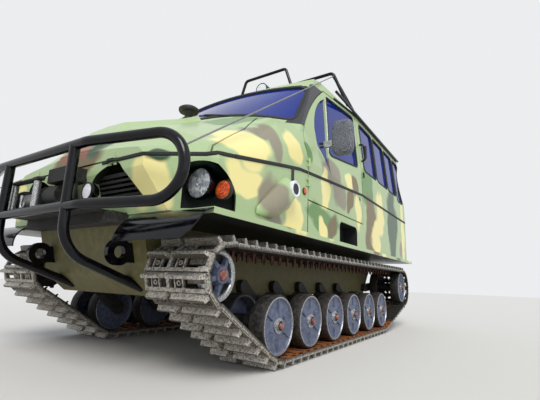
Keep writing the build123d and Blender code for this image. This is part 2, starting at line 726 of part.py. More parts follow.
def loop_stretches(rollers, depth):
    """Arcs and straight runs of a taut loop, drawn depth outside its rollers."""
    runs = []
    count = len(rollers)
    for i in range(count):
        y0, z0, r0 = rollers[i]
        y1, z1, r1 = rollers[(i + 1) % count]
        span = ((y1 - y0) ** 2 + (z1 - z0) ** 2) ** 0.5
        heading = atan2(z1 - z0, y1 - y0) - asin((r1 - r0) / span)
        runs.append((heading, (span**2 - (r1 - r0) ** 2) ** 0.5))
    stretches = []
    for i in range(count):
        y, z, r = rollers[i]
        before = runs[i - 1][0]
        heading, length = runs[i]
        turn = (heading - before) % (2 * pi)
        stretches.append(("arc", y, z, r + depth, before - pi / 2, turn))
        reach = r + depth
        stretches.append(("run", y + reach * sin(heading), z - reach * cos(heading), heading, length))
    return stretches


def loop_length(stretches, depth):
    """Length of the loop measured depth outside the rollers."""
    total = 0.0
    for kind, *values in stretches:
        total += values[2] * values[4] if kind == "arc" else values[3]
    return total


def loop_point(stretches, travel, lift):
    """Point and direction at a travel along the loop, lifted outwards from it."""
    for kind, *values in stretches:
        if kind == "arc":
            y, z, radius, start, turn = values
            if travel <= radius * turn:
                angle = start + travel / radius
                return y + (radius + lift) * cos(angle), z + (radius + lift) * sin(angle), angle + pi / 2
            travel -= radius * turn
        else:
            y, z, heading, length = values
            if travel <= length:
                return (y + travel * cos(heading) + lift * sin(heading),
                        z + travel * sin(heading) - lift * cos(heading), heading)
            travel -= length
    return loop_point(stretches, 0.0, lift)


inner_loop = loop_stretches(corner_rollers, 0)
plate_loop = loop_stretches(corner_rollers, TRACK_DEPTH - LUG_HEIGHT)
track_length = loop_length(plate_loop, 0)
shoe_count = round(track_length / SHOE_PITCH)
shoe_step = track_length / shoe_count


def inner_face():
    """Side view of the space inside a track loop."""
    with BuildSketch() as sketch:
        with BuildLine():
            for kind, *values in inner_loop:
                if kind == "arc":
                    y, z, radius, start, turn = values
                    CenterArc((y, z), radius, start * 180 / pi, turn * 180 / pi)
                else:
                    y, z, heading, length = values
                    Line((y, z), (y + length * cos(heading), z + length * sin(heading)))
        make_face()
    return sketch.sketch


for side, name in ((1, "track_left"), (-1, "track_right")):
    with BuildPart() as track:
        with BuildSketch(Plane.YZ.offset(side * TRACK_X - TRACK_HALF)):
            with BuildLine():
                corners = []
                for i in range(shoe_count):
                    for share, lift in LUG_SHAPE:
                        y, z, _ = loop_point(plate_loop, (i + share) * shoe_step, lift)
                        corners.append((y, z))
                Polyline(*corners, close=True)
            make_face()
            add(inner_face(), mode=Mode.SUBTRACT)
        extrude(amount=2 * TRACK_HALF)
    save(track.part, name)


def roller(radius, y, z, side):
    """A twin-disc roller on its hub: dished discs with rubber-rimmed edges, seen in half section."""
    with BuildPart() as body:
        for face in (1, -1):
            outer = face * WHEEL_FACE
            inner = face * (WHEEL_FACE - RIM_WIDTH)
            dish = face * (WHEEL_FACE - 40)
            with BuildSketch(Plane.XY):
                with BuildLine():
                    Polyline((dish, HUB_RADIUS), (outer, HUB_RADIUS + 8), (outer, AXLE_RADIUS + SEAT_GAP),
                             (face * 20, AXLE_RADIUS + SEAT_GAP), (face * 20, HUB_RADIUS),
                             (dish - face * 14, HUB_RADIUS), (dish - face * 14, radius - 24),
                             (inner, radius - 24), (inner, radius - SEAT_GAP), (outer, radius - SEAT_GAP),
                             (outer, radius - 24), (dish, radius - 40), close=True)
                make_face()
            revolve(axis=Axis.X)
    return body.part.moved(Location((side * TRACK_X, y, z)))


for side, name in ((1, "road_wheels_left"), (-1, "road_wheels_right")):
    with BuildPart() as road_wheels:
        for y, z, radius in wheel_places:
            add(roller(radius, y, z, side))
    save(road_wheels.part, name)

with BuildPart() as rear_idlers:
    for side in (1, -1):
        add(roller(IDLER_RADIUS, IDLER_Y, IDLER_Z, side))
save(rear_idlers.part, "rear_idlers")

# Drive sprockets: two toothed rings on a drum
with BuildPart() as drive_sprockets:
    for side in (1, -1):
        for face in (1, -1):
            middle = side * TRACK_X + face * SPROCKET_RING_X
            with BuildSketch(Plane.YZ.offset(middle - SPROCKET_RING / 2)):
                with Locations((SPROCKET_Y, SPROCKET_Z)):
                    Circle(SPROCKET_RADIUS - SPROCKET_TOOTH)
                    with PolarLocations(SPROCKET_RADIUS - SPROCKET_TOOTH - 6, SPROCKET_TEETH):
                        Trapezoid(44, 2 * SPROCKET_TOOTH, 70, rotation=-90)
                    Circle(SPROCKET_RADIUS - SEAT_GAP, mode=Mode.INTERSECT)
            extrude(amount=SPROCKET_RING)
        with BuildSketch(Plane.YZ.offset(side * TRACK_X - SPROCKET_RING_X)):
            with Locations((SPROCKET_Y, SPROCKET_Z)):
                Circle(SPROCKET_DRUM)
        extrude(amount=2 * SPROCKET_RING_X)
        with BuildSketch(Plane.YZ.offset(side * HULL_HALF)):
            with Locations((SPROCKET_Y, SPROCKET_Z)):
                Circle(SPROCKET_DRUM - 15)
        extrude(amount=side * (TRACK_X - HULL_HALF))
save(drive_sprockets.part, "drive_sprockets")

# Trailing arms with their pivots on the hull and the stub axles through the rollers
with BuildPart() as suspension_arms:
    for side in (1, -1):
        for y, z, radius in wheel_places + [(IDLER_Y, IDLER_Z, IDLER_RADIUS)]:
            with BuildSketch(Plane.YZ.offset(side * (HULL_HALF + ARM_OUT))):
                with BuildLine():
                    arm_line = Line((y - ARM_REACH, ARM_PIVOT_Z), (y, z))
                SlotCenterPoint(arm_line @ 0.5, arm_line @ 0, 2 * ARM_EYE)
            extrude(amount=side * ARM_THICK)
            with BuildSketch(Plane.YZ.offset(side * HULL_HALF)):
                with Locations((y - ARM_REACH, ARM_PIVOT_Z)):
                    Circle(ARM_EYE)
            extrude(amount=side * ARM_OUT)
            with BuildSketch(Plane.YZ.offset(side * (HULL_HALF + ARM_OUT))):
                with Locations((y, z)):
                    Circle(AXLE_RADIUS)
            extrude(amount=side * (TRACK_X - HULL_HALF - ARM_OUT + WHEEL_FACE + 12))
save(suspension_arms.part, "suspension_arms")

# Front guard: closed loop tube, two posts and two struts down to the hull
with BuildPart() as front_guard:
    for z in (GUARD_LOW, GUARD_HIGH):
        add(tube([(-GUARD_POST_X, GUARD_FRONT, z), (GUARD_POST_X, GUARD_FRONT, z)], 0, GUARD_TUBE))
    for side in (1, -1):
        post_x = side * GUARD_POST_X
        kink_x, end_x = side * GUARD_KINK, side * GUARD_END_X
        post_low, post_high = (post_x, GUARD_FRONT, GUARD_LOW), (post_x, GUARD_FRONT, GUARD_HIGH)
        end_loop = [post_high, (kink_x, GUARD_FRONT, GUARD_HIGH), (end_x, GUARD_END_Y, GUARD_HIGH),
                    (end_x, GUARD_END_Y, GUARD_LOW), (kink_x, GUARD_FRONT, GUARD_LOW), post_low]
        add(tube(end_loop, GUARD_BEND, GUARD_TUBE))
        add(tube([post_low, post_high], 0, GUARD_TUBE))
        strut = [post_low, (post_x, GUARD_FRONT + 8, GUARD_STRUT_LOW), (post_x, *GUARD_FOOT)]
        add(tube(strut, GUARD_STRUT_BEND, GUARD_TUBE - 1))
    add(hull_block, mode=Mode.SUBTRACT)
save(front_guard.part, "front_guard")

# Rails along the gutters
with BuildPart() as roof_rails:
    for side in (1, -1):
        rail_x = side * RAIL_X
        add(tube([(rail_x, RAIL_FRONT, RAIL_Z), (rail_x, BODY_REAR - 60, RAIL_Z)], 0, RAIL_TUBE))
    add(body_outer, mode=Mode.SUBTRACT)

# Branch guard on the roof: centre hoop, two wings, legs to the roof rails
with BuildPart() as roof_guard:
    hoop = [(-HOOP_FOOT, HOOP_Y, WING_Z), (-HOOP_HALF, HOOP_Y, HOOP_TOP), (HOOP_HALF, HOOP_Y, HOOP_TOP),
            (HOOP_FOOT, HOOP_Y, WING_Z)]
    add(tube(hoop, 45, ROOF_TUBE))
    for side in (1, -1):
        foot_x, wing_x, leg_x = side * HOOP_FOOT, side * WING_HALF, side * (RAIL_X - 5)
        wing_foot = (foot_x, HOOP_Y, WING_Z)
        add(tube([wing_foot, (wing_x, HOOP_Y, WING_Z), (leg_x, HOOP_Y + 70, RAIL_Z)], 50, ROOF_TUBE))
        add(tube([wing_foot, (foot_x, HOOP_Y, ROOF_TOP - 40)], 0, ROOF_TUBE))
        brace = [(wing_x, HOOP_Y, WING_Z - 30), (wing_x + side * 30, HOOP_Y + 130, WING_Z - 110),
                 (leg_x, HOOP_Y + 260, RAIL_Z)]
        add(tube(brace, 60, ROOF_TUBE - 3))
    add(body_outer, mode=Mode.SUBTRACT)
    add(roof_rails.part)
save(roof_guard.part, "roof_guard")


def lamp_lining(side):
    """Lining of one lamp recess, open to the front."""
    corner = lamp_plane(side)
    with BuildPart() as lining:
        with BuildSketch(corner.offset(-LAMP_DEPTH)):
            add(lamp_outline(side, LINER))
            add(lamp_outline(side, 0), mode=Mode.SUBTRACT)
        extrude(amount=2 * LAMP_DEPTH)
        with BuildSketch(corner.offset(-LAMP_DEPTH - LINER)):
            add(lamp_outline(side, LINER))
        extrude(amount=LINER)
        add(body_inner, mode=Mode.INTERSECT)
    return lining.part


# Dark linings of the lamp recesses, with a back plate that carries the lamps
with BuildPart() as lamp_pods:
    for side in (1, -1):
        add(lamp_lining(side))
save(lamp_pods.part, "lamp_pods")


def lamp(side, place, radius, rim, bucket_radius, bucket, stem_way):
    """One lamp on its stem, cut off where the stem meets the recess plate."""
    front = Vector(side * place[0], place[1], place[2])
    back = front + Vector(0, rim + bucket, 0)
    with BuildPart() as body:
        add(rod(front, front + Vector(0, rim, 0), radius))
        add(rod(front, back, bucket_radius))
        add(rod(back - Vector(0, 10, 0), back + Vector(side * stem_way[0], stem_way[1], 0) * 300, LAMP_STEM))
        split(bisect_by=lamp_plane(side).offset(-LAMP_DEPTH + SEAT_GAP), keep=Keep.TOP)
    return body.part


# Headlamps and turn signals: a rim with its lens, a bucket and a stem back to the recess plate.
# The round side markers go with the turn signals.
for name, *lamp_shape in LAMPS:
    with BuildPart() as lamps:
        for side in (1, -1):
            add(lamp(side, *lamp_shape))
            if name == "signal_lamps":
                wall_x = side * BODY_HALF
                add(rod((wall_x, MARKER_Y, MARKER_Z), (wall_x + side * 14, MARKER_Y, MARKER_Z), 26))
    save(lamps.part, name)

# Black curved lips that carry the flange's front edge down and forwards over the tracks
def fender_lip(side):
    """One curved lip, rounded off at its outer end."""
    corner_x = side * FLANGE_HALF
    inner_top, inner_end = (corner_x - side * x for x in LIP_INNER)
    round_x = corner_x - side * LIP_ROUND
    (top_y, top_z), (middle_y, middle_z), (end_y, end_z) = LIP_SIDE
    slant = 0.7 * LIP_THICK
    with BuildPart() as lip:
        with BuildSketch(Plane.YZ.offset(corner_x)):
            with BuildLine():
                ThreePointArc(*LIP_SIDE)
                Line((end_y, end_z), (end_y + LIP_THICK, end_z))
                ThreePointArc((end_y + LIP_THICK, end_z), (middle_y + slant, middle_z - slant),
                              (top_y, top_z - LIP_THICK))
                Line((top_y, top_z - LIP_THICK), (top_y, top_z))
            make_face()
        extrude(amount=-side * (LIP_INNER[1] + LIP_THICK))
        with BuildSketch(Plane.XZ.offset(-FLANGE_FRONT)):
            with BuildLine():
                Polyline((round_x, end_z - 1), (inner_end, end_z - 1), (inner_top, DECK_TOP),
                         (corner_x, DECK_TOP))
                ThreePointArc((corner_x, DECK_TOP), (corner_x - side * LIP_ROUND / 4, end_z + 35),
                              (round_x, end_z - 1))
            make_face()
        extrude(amount=BIG, both=True, mode=Mode.INTERSECT)
    return lip.part


with BuildPart() as fender_lips:
    for side in (1, -1):
        add(fender_lip(side))
save(fender_lips.part, "fender_lips")

def niche_lining(side):
    """Lining of one step niche, open to the side."""
    with BuildPart() as lining:
        for inset, mode in ((0, Mode.ADD), (LINER, Mode.SUBTRACT)):
            with BuildSketch(Plane.YZ.offset(side * BODY_HALF)):
                add(niche_outline())
                if inset:
                    offset(amount=-inset)
            extrude(amount=-side * (NICHE_DEEP - inset), mode=mode)
    return lining.part


# Dark sheet linings of the step niches
with BuildPart() as step_niches:
    for side in (1, -1):
        add(niche_lining(side))
save(step_niches.part, "step_niches")

# Slatted grille panels behind the two nose openings, flat on the leaning nose panel's inner face
nose_lean = Plane(origin=(0, NOSE_FOOT + WALL, DECK_TOP), x_dir=(1, 0, 0),
                  z_dir=(0, DECK_TOP - NOSE_KNEE_Z, NOSE_FRONT - NOSE_FOOT))
with BuildPart() as grille:
    for side in (1, -1):
        with BuildSketch(nose_lean):
            with Locations((side * GRILLE_X, GRILLE_UP)):
                Rectangle(GRILLE_WIDE, GRILLE_TALL)
                with GridLocations(0, GRILLE_TALL / 8, 1, 7):
                    Rectangle(GRILLE_WIDE - 40, GRILLE_TALL / 16, mode=Mode.SUBTRACT)
        extrude(amount=-GRILLE_THICK)
    add(body_inner, mode=Mode.INTERSECT)
save(grille.part, "grille")

# Electric winch on its shelf in front of the nose, with the roller fairlead and the relay box
shelf_front = GUARD_FRONT + GUARD_TUBE
with BuildPart() as winch:
    shelf_top, shelf_under = WINCH_SHELF
    shelf_x = (-GUARD_POST_X - 60, GUARD_POST_X + 60)
    add(box_between(shelf_x, (shelf_front, NOSE_FOOT), (shelf_under, shelf_top)))
    add(box_between(WINCH_BEAM[0], WINCH_BEAM[1], (WINCH_BEAM[2], shelf_under)))
    for offset_x, length, radius in WINCH_BARRELS:
        start = (WINCH_X + offset_x, WINCH_Y, WINCH_Z)
        add(rod(start, (start[0] + length, WINCH_Y, WINCH_Z), radius))
    for offset_x, length, radius in WINCH_BARRELS[1::2]:
        flange_x = (WINCH_X + offset_x, WINCH_X + offset_x + length)
        add(box_between(flange_x, (WINCH_Y - radius, WINCH_Y + radius), (shelf_top, WINCH_Z)))
    roller_y, roller_top = shelf_front + FAIRLEAD_ROLLER + 14, WINCH_Z + 95
    for way in (-1, 1):
        roller_x = WINCH_X + way * FAIRLEAD_HALF
        add(rod((roller_x, roller_y, shelf_top), (roller_x, roller_y, roller_top), FAIRLEAD_ROLLER))
    fairlead_x = (WINCH_X - FAIRLEAD_HALF - 30, WINCH_X + FAIRLEAD_HALF + 30)
    add(box_between(fairlead_x, (roller_y - 22, roller_y + 22), (roller_top, roller_top + 10)))
    (box_left, box_right), box_z = WINCH_BOX
    add(box_between((box_left, box_right), (WINCH_Y - 55, WINCH_Y + 55), box_z))
    for post_x in ((box_left, box_left + 20), (box_right - 20, box_right)):
        add(box_between(post_x, (WINCH_Y - 8, WINCH_Y + 8), (shelf_top, box_z[0])))
    add(body_outer, mode=Mode.SUBTRACT)
save(winch.part, "winch")

# Round work lamp on a post that stands on the winch shelf, at the left of the winch
with BuildPart() as work_lamp:
    with BuildSketch(Plane.YZ.offset(WORK_LAMP_X)):
        with BuildLine():
            ThreePointArc((WORK_LAMP_Y, WORK_LAMP_Z + WORK_LAMP_RADIUS),
                          (WORK_LAMP_Y + 48, WORK_LAMP_Z + 34), (WORK_LAMP_Y + 66, WORK_LAMP_Z))
            Polyline((WORK_LAMP_Y + 66, WORK_LAMP_Z), (WORK_LAMP_Y, WORK_LAMP_Z),
                     (WORK_LAMP_Y, WORK_LAMP_Z + WORK_LAMP_RADIUS))
        make_face()
    revolve(axis=Axis((WORK_LAMP_X, 0, WORK_LAMP_Z), (0, 1, 0)))
    post_y = WORK_LAMP_Y + 28
    add(rod((WORK_LAMP_X, post_y, WINCH_SHELF[0]), (WORK_LAMP_X, post_y, WORK_LAMP_Z), 9))
save(work_lamp.part, "work_lamp")

# Round towing eyes on the hull's front plate
with BuildPart() as tow_eyes:
    for side in (1, -1):
        with BuildSketch(Plane.YZ.offset(side * TOW_EYE_X - TOW_EYE_THICK / 2)):
            with Locations((TOW_EYE_Y, TOW_EYE_Z)):
                Circle(TOW_EYE_BORE + TOW_EYE_RIM)
                with Locations((TOW_EYE_SHANK / 2, 0)):
                    Rectangle(TOW_EYE_SHANK, 2 * TOW_EYE_BORE + TOW_EYE_RIM)
                Circle(TOW_EYE_BORE, mode=Mode.SUBTRACT)
        extrude(amount=TOW_EYE_THICK)
    add(hull_block, mode=Mode.SUBTRACT)
save(tow_eyes.part, "tow_eyes")

# Tow hitch at the rear: a cross plate with a drawbar and its pin bore
with BuildPart() as tow_hitch:
    add(box_between((-150, 150), (HITCH_PLATE_Y, HITCH_PLATE_Y + 14), (HITCH_Z - 70, HITCH_Z + 70)))
    for z in (-1, 1):
        middle = HITCH_Z + z * HITCH_JAW / 2
        with BuildSketch(Plane.XY.offset(middle - 10)):
            with Locations((0, HITCH_PIN_Y)):
                Circle(HITCH_NOSE)
            with Locations((0, (HITCH_PLATE_Y + 14 + HITCH_PIN_Y) / 2)):
                Rectangle(2 * HITCH_NOSE, HITCH_PIN_Y - HITCH_PLATE_Y - 14)
        extrude(amount=20)
    bore = rod((0, HITCH_PIN_Y, HITCH_Z - 100), (0, HITCH_PIN_Y, HITCH_Z + 100), HITCH_BORE)
    add(bore, mode=Mode.SUBTRACT)
    arm_y, arm_z = (HITCH_PLATE_Y - 260, HITCH_PLATE_Y), (HITCH_Z - 60, HITCH_Z + 60)
    for x in (-120, 120):
        add(box_between((x - 10, x + 10), arm_y, arm_z))
    add(hull_block, mode=Mode.SUBTRACT)
save(tow_hitch.part, "tow_hitch")

# Searchlight inside the roof guard's hoop
with BuildPart() as searchlight:
    add(rod((0, HOOP_Y - 70, SEARCH_Z), (0, HOOP_Y + 50, SEARCH_Z), 75))
    add(rod((0, HOOP_Y, ROOF_TOP - 20), (0, HOOP_Y, SEARCH_Z - 70), 14))
    add(body_outer, mode=Mode.SUBTRACT)
save(searchlight.part, "searchlight")

# Heater outlet pod on the left front side: streamlined bulge with a round outlet facing back
with BuildPart() as exhaust_pod:
    for y, height, reach, z in POD_SECTIONS:
        with BuildSketch(Plane.XZ.offset(-y)):
            with Locations((BODY_HALF, z)):
                Ellipse(reach, height)
    loft(ruled=True)
    add(body_outer, mode=Mode.SUBTRACT)
    add(rod((BODY_HALF + 38, -1200, 1095), (BODY_HALF + 38, -1100, 1095), 22), mode=Mode.SUBTRACT)
save(exhaust_pod.part, "exhaust_pod")

# Door mirrors: a rounded head on a two-tube arm
for side, name in ((1, "mirror_left"), (-1, "mirror_right")):
    with BuildPart() as mirror:
        with BuildSketch(Plane.XY.offset(MIRROR_Z - MIRROR_TALL / 2)):
            with Locations((side * MIRROR_X, MIRROR_Y)):
                Rectangle(MIRROR_WIDE, MIRROR_DEEP)
        extrude(amount=MIRROR_TALL)
        fillet(mirror.edges(), MIRROR_ROUND)
        for dz in MIRROR_ARM:
            arm_foot = (side * (BODY_HALF - 110), MIRROR_Y - 20, MIRROR_Z + dz)
            add(rod(arm_foot, (side * MIRROR_X, MIRROR_Y, MIRROR_Z + dz), 11))
        add(body_outer, mode=Mode.SUBTRACT)
    save(mirror.part.solids().sort_by(Axis.X)[-1 if side > 0 else 0], name)

# Grab handles on the pillars behind the doors
with BuildPart() as grab_handles:
    for side in (1, -1):
        low_z, high_z = HANDLE_Z
        handle = [(side * 900, HANDLE_Y, low_z), (side * HANDLE_X, HANDLE_Y, low_z),
                  (side * (HANDLE_X - 22), HANDLE_Y, high_z), (side * 900, HANDLE_Y, high_z)]
        add(tube(handle, 30, 10))
    add(body_outer, mode=Mode.SUBTRACT)
save(grab_handles.part, "grab_handles")

# Upright rear lamps
with BuildPart() as rear_lamps:
    for side in (1, -1):
        with BuildSketch(Plane.XZ.offset(-BODY_REAR)):
            with Locations((side * REAR_LAMP_X, REAR_LAMP_Z)):
                RectangleRounded(110, 260, 20)
        extrude(amount=-REAR_LAMP_DEEP)
save(rear_lamps.part, "rear_lamps")

# Branch deflector stays from the front guard's shoulders to the roof guard's wings
with BuildPart() as deflector_stays:
    for side in (1, -1):
        foot_x, *foot_yz = STAY_FOOT
        head_x, *head_yz = STAY_HEAD
        add(rod((side * foot_x, *foot_yz), (side * head_x, *head_yz), 5))
    add(front_guard.part, mode=Mode.SUBTRACT)
    add(roof_guard.part, mode=Mode.SUBTRACT)
save(deflector_stays.part, "deflector_stays")

# Front seats, rear benches, dashboard and steering wheel
with BuildPart() as seats:
    for side in (1, -1):
        with Locations((side * SEAT_X, SEAT_Y, SEAT_Z)):
            Box(*SEAT_CUSHION)
        with Locations((side * SEAT_X, SEAT_Y + SEAT_CUSHION[1] / 2 + 10, SEAT_Z + SEAT_BACK[2] / 2 + 20)):
            Box(*SEAT_BACK)
        plinth_x = (side * SEAT_X - 180, side * SEAT_X + 180)
        plinth_z = (DECK_TOP, SEAT_Z - SEAT_CUSHION[2] / 2 + 10)
        add(box_between(plinth_x, (SEAT_Y - 180, SEAT_Y + 180), plinth_z))
        bench_x = sorted((side * (BODY_HALF - WALL - 60), side * (BODY_HALF - WALL - 500)))
        add(box_between(bench_x, BENCH_Y, (BENCH_Z, BENCH_Z + 110)))
        box_x = sorted((side * (BODY_HALF - WALL - 100), side * (BODY_HALF - WALL - 440)))
        add(box_between(box_x, (BENCH_Y[0] + 40, BENCH_Y[1] - 40), (DECK_TOP, BENCH_Z)))
save(seats.part, "seats")

with BuildPart() as dashboard:
    add(box_between((-DASH_HALF, DASH_HALF), DASH_Y, DASH_Z))
    add(box_between((-BODY_HALF, BODY_HALF), (DASH_Y[0], DOOR_FRONT - DASH_CLEAR), DASH_Z))
    add(body_inner, mode=Mode.INTERSECT)
save(dashboard.part, "dashboard")

wheel_centre = Vector(SEAT_X, DASH_Y[1] + 190, DASH_Z[1] + 30)
column_foot = Vector(SEAT_X, DASH_Y[1], DASH_Z[1] - 90)
with BuildPart() as steering_wheel:
    add(rod(tuple(column_foot), tuple(wheel_centre), 20))
    with BuildSketch(Plane(origin=wheel_centre, z_dir=wheel_centre - column_foot)):
        Circle(STEERING_RADIUS)
        Circle(STEERING_RADIUS - STEERING_RIM, mode=Mode.SUBTRACT)
        Rectangle(2 * STEERING_RADIUS - STEERING_RIM, 36)
    extrude(amount=STEERING_RIM / 2, both=True)
    add(dashboard.part, mode=Mode.SUBTRACT)
save(steering_wheel.part, "steering_wheel")

# Air intake: domed mushroom cap on a flared neck that stands on the hood
intake_x, intake_y = INTAKE
cap_foot = INTAKE_CAP_Z - 6
cap_edge = INTAKE_CAP_Z + 20
dome_radius = (INTAKE_CAP**2 + INTAKE_DOME**2) / (2 * INTAKE_DOME)
with BuildPart() as air_intake:
    with BuildSketch(Plane.XZ.offset(-intake_y)):
        with BuildLine():
            Polyline((intake_x, cap_edge + INTAKE_DOME), (intake_x, cap_foot - INTAKE_NECK),
                     (intake_x + 42, cap_foot - INTAKE_NECK), (intake_x + 26, cap_foot - 39),
                     (intake_x + 48, cap_foot), (intake_x + INTAKE_CAP - 6, cap_foot),
                     (intake_x + INTAKE_CAP, cap_foot + 12), (intake_x + INTAKE_CAP, cap_edge))
            RadiusArc((intake_x + INTAKE_CAP, cap_edge), (intake_x, cap_edge + INTAKE_DOME), -dome_radius)
        make_face()
    revolve(axis=Axis((intake_x, intake_y, 0), (0, 0, 1)))
    add(hood_bulge.part, mode=Mode.SUBTRACT)
save(air_intake.part, "air_intake")

# Rear door, the whole wall's thickness, with its window
with BuildPart() as rear_door:
    leaf_x = (REAR_DOOR_X[0] + SHUT_GAP / 2, REAR_DOOR_X[1] - SHUT_GAP / 2)
    leaf_z = (REAR_DOOR_Z[0] + SHUT_GAP / 2, REAR_DOOR_Z[1] - SHUT_GAP / 2)
    add(box_between(leaf_x, (BODY_REAR - WALL, BODY_REAR), leaf_z))
    with BuildSketch(Plane.XZ.offset(-BODY_REAR)):
        with Locations((0, REAR_PANE_Z)):
            RectangleRounded(*REAR_PANE, PANE_CORNER)
    extrude(amount=2 * WALL, both=True, mode=Mode.SUBTRACT)
    add(box_between((250, 290), (BODY_REAR, BODY_REAR + 34), (1380, 1520)))
    for z in REAR_HINGE_Z:
        add(hinge_half(REAR_HINGE_AXIS, z, (1, 0, 0), True))
save(rear_door.part, "rear_door")

with BuildPart() as rear_door_glass:
    with BuildSketch(Plane.XZ.offset(-BODY_REAR + GLASS_INSET)):
        with Locations((0, REAR_PANE_Z)):
            RectangleRounded(REAR_PANE[0] - 2 * SEAT_GAP, REAR_PANE[1] - 2 * SEAT_GAP, PANE_CORNER)
    extrude(amount=GLASS_THICK)
save(rear_door_glass.part, "rear_door_glass")
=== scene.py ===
"""Looks of a tracked all-terrain vehicle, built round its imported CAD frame, in metres.

The sections follow the vehicle as it is put together, from the floor it stands on to the glass.
"""

from math import asin, atan2, cos, hypot, pi, radians, sin, sqrt

import bmesh
import bpy
from mathutils import Matrix, Vector
from mathutils.bvhtree import BVHTree


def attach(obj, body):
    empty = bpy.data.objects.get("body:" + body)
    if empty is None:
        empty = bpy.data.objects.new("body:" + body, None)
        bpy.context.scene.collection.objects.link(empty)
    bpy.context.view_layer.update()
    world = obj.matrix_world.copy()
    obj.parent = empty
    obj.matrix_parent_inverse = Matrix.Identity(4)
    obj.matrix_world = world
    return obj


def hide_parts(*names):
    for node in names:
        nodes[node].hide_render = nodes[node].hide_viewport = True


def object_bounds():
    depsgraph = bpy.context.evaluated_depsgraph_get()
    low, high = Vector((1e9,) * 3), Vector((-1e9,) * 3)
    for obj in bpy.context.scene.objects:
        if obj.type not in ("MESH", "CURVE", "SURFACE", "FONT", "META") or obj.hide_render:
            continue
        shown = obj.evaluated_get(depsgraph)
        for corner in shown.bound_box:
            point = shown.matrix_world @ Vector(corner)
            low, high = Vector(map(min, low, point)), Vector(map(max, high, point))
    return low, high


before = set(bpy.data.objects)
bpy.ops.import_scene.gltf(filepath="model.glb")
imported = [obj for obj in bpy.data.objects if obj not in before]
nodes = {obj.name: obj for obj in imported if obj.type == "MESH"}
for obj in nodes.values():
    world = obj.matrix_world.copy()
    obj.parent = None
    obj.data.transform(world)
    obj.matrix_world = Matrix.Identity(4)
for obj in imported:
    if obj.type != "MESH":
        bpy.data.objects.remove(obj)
cad_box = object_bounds()
SIDES = ((1, "left"), (-1, "right"))  # sign of x, and the word that ends the pieces' names

# ---------------------------------------------------------------- Camera
# A wide-angle view from near the ground, off the vehicle's left front corner, tilted up
# and rolled a little. Solved from the body lines and the six equal road wheels.
EYE = Vector((2.220, -3.158, 0.514))
YAW, PITCH, ROLL = radians(33.12), radians(12.59), radians(2.01)
FOCAL_PX, FRAME_WIDE_PX, SENSOR_MM = 362.8, 540, 36

forward = Vector((-sin(YAW) * cos(PITCH), cos(YAW) * cos(PITCH), sin(PITCH)))
level = Vector((cos(YAW), sin(YAW), 0))
upward = level.cross(forward)
right = cos(ROLL) * level + sin(ROLL) * upward
up = -sin(ROLL) * level + cos(ROLL) * upward
camera_data = bpy.data.cameras.new("camera")
camera_data.sensor_fit = "HORIZONTAL"
camera_data.sensor_width = SENSOR_MM
camera_data.lens = FOCAL_PX / FRAME_WIDE_PX * SENSOR_MM
camera = bpy.data.objects.new("camera", camera_data)
bpy.context.collection.objects.link(camera)
camera.matrix_world = Matrix.Translation(EYE) @ Matrix((right, up, -forward)).transposed().to_4x4()
bpy.context.scene.camera = camera
bpy.context.scene.view_settings.view_transform = "Standard"


# ---------------------------------------------------------------- Floor and studio light
# A pale matt floor under a pale surround. A broad soft key from the front left and a
# weaker fill keep the paint at about its written colours.
def linear(hex_colour):
    """An sRGB hex colour as the linear RGBA that a shader socket takes."""
    parts = (int(hex_colour[i:i + 2], 16) / 255 for i in (1, 3, 5))
    return (*(p / 12.92 if p <= 0.04045 else ((p + 0.055) / 1.055) ** 2.4 for p in parts), 1)


def feed(node, inputs):
    """Fills inputs, each with a value, a hex colour, a socket or a node, meaning its first live output."""
    for key, source in inputs.items():
        if isinstance(key, str):
            target = next(socket for socket in node.inputs if socket.enabled and socket.name == key)
        else:
            target = node.inputs[key]
        if isinstance(source, bpy.types.Node):
            source = next(socket for socket in source.outputs if socket.enabled)
        if isinstance(source, bpy.types.NodeSocket):
            node.id_data.links.new(source, target)
        else:
            target.default_value = linear(source) if isinstance(source, str) else source


def put(tree, kind, inputs=(), **settings):
    """Adds a node to a tree, with its properties set and its inputs fed."""
    new = tree.nodes.new(kind)
    for name, value in settings.items():
        setattr(new, name, value)
    feed(new, dict(inputs))
    return new


def material(name):
    """An empty node material: its tree, its Principled shader and its coordinates."""
    made = bpy.data.materials.new(name)
    made.use_nodes = True
    tree = made.node_tree
    return made, tree, tree.nodes["Principled BSDF"], put(tree, "ShaderNodeTexCoord")


def mesh_object(name, mesh, finish):
    """Links a mesh to the scene as an object with its finish."""
    piece = bpy.data.objects.new(name, mesh)
    bpy.context.collection.objects.link(piece)
    mesh.materials.append(finish)
    return piece


FLOOR_HALF = 30
FLOOR_COLOUR, SURROUND_COLOUR, SKYLIGHT = "#DAD7D0", "#F1F3F5", "#E9F1FF"

floor_paint, _, shader, _ = material("matt_studio_floor")
feed(shader, {"Base Color": FLOOR_COLOUR, "Roughness": 0.9})
sheet = bmesh.new()
bmesh.ops.create_grid(sheet, x_segments=1, y_segments=1, size=FLOOR_HALF)
floor_mesh = bpy.data.meshes.new("floor")
sheet.to_mesh(floor_mesh)
sheet.free()
floor = mesh_object("floor", floor_mesh, floor_paint)

world = bpy.data.worlds.new("surround")
bpy.context.scene.world = world
world.use_nodes = True
tree = world.node_tree
lit = tree.nodes["Background"]
feed(lit, {"Color": SKYLIGHT, "Strength": 0.55})
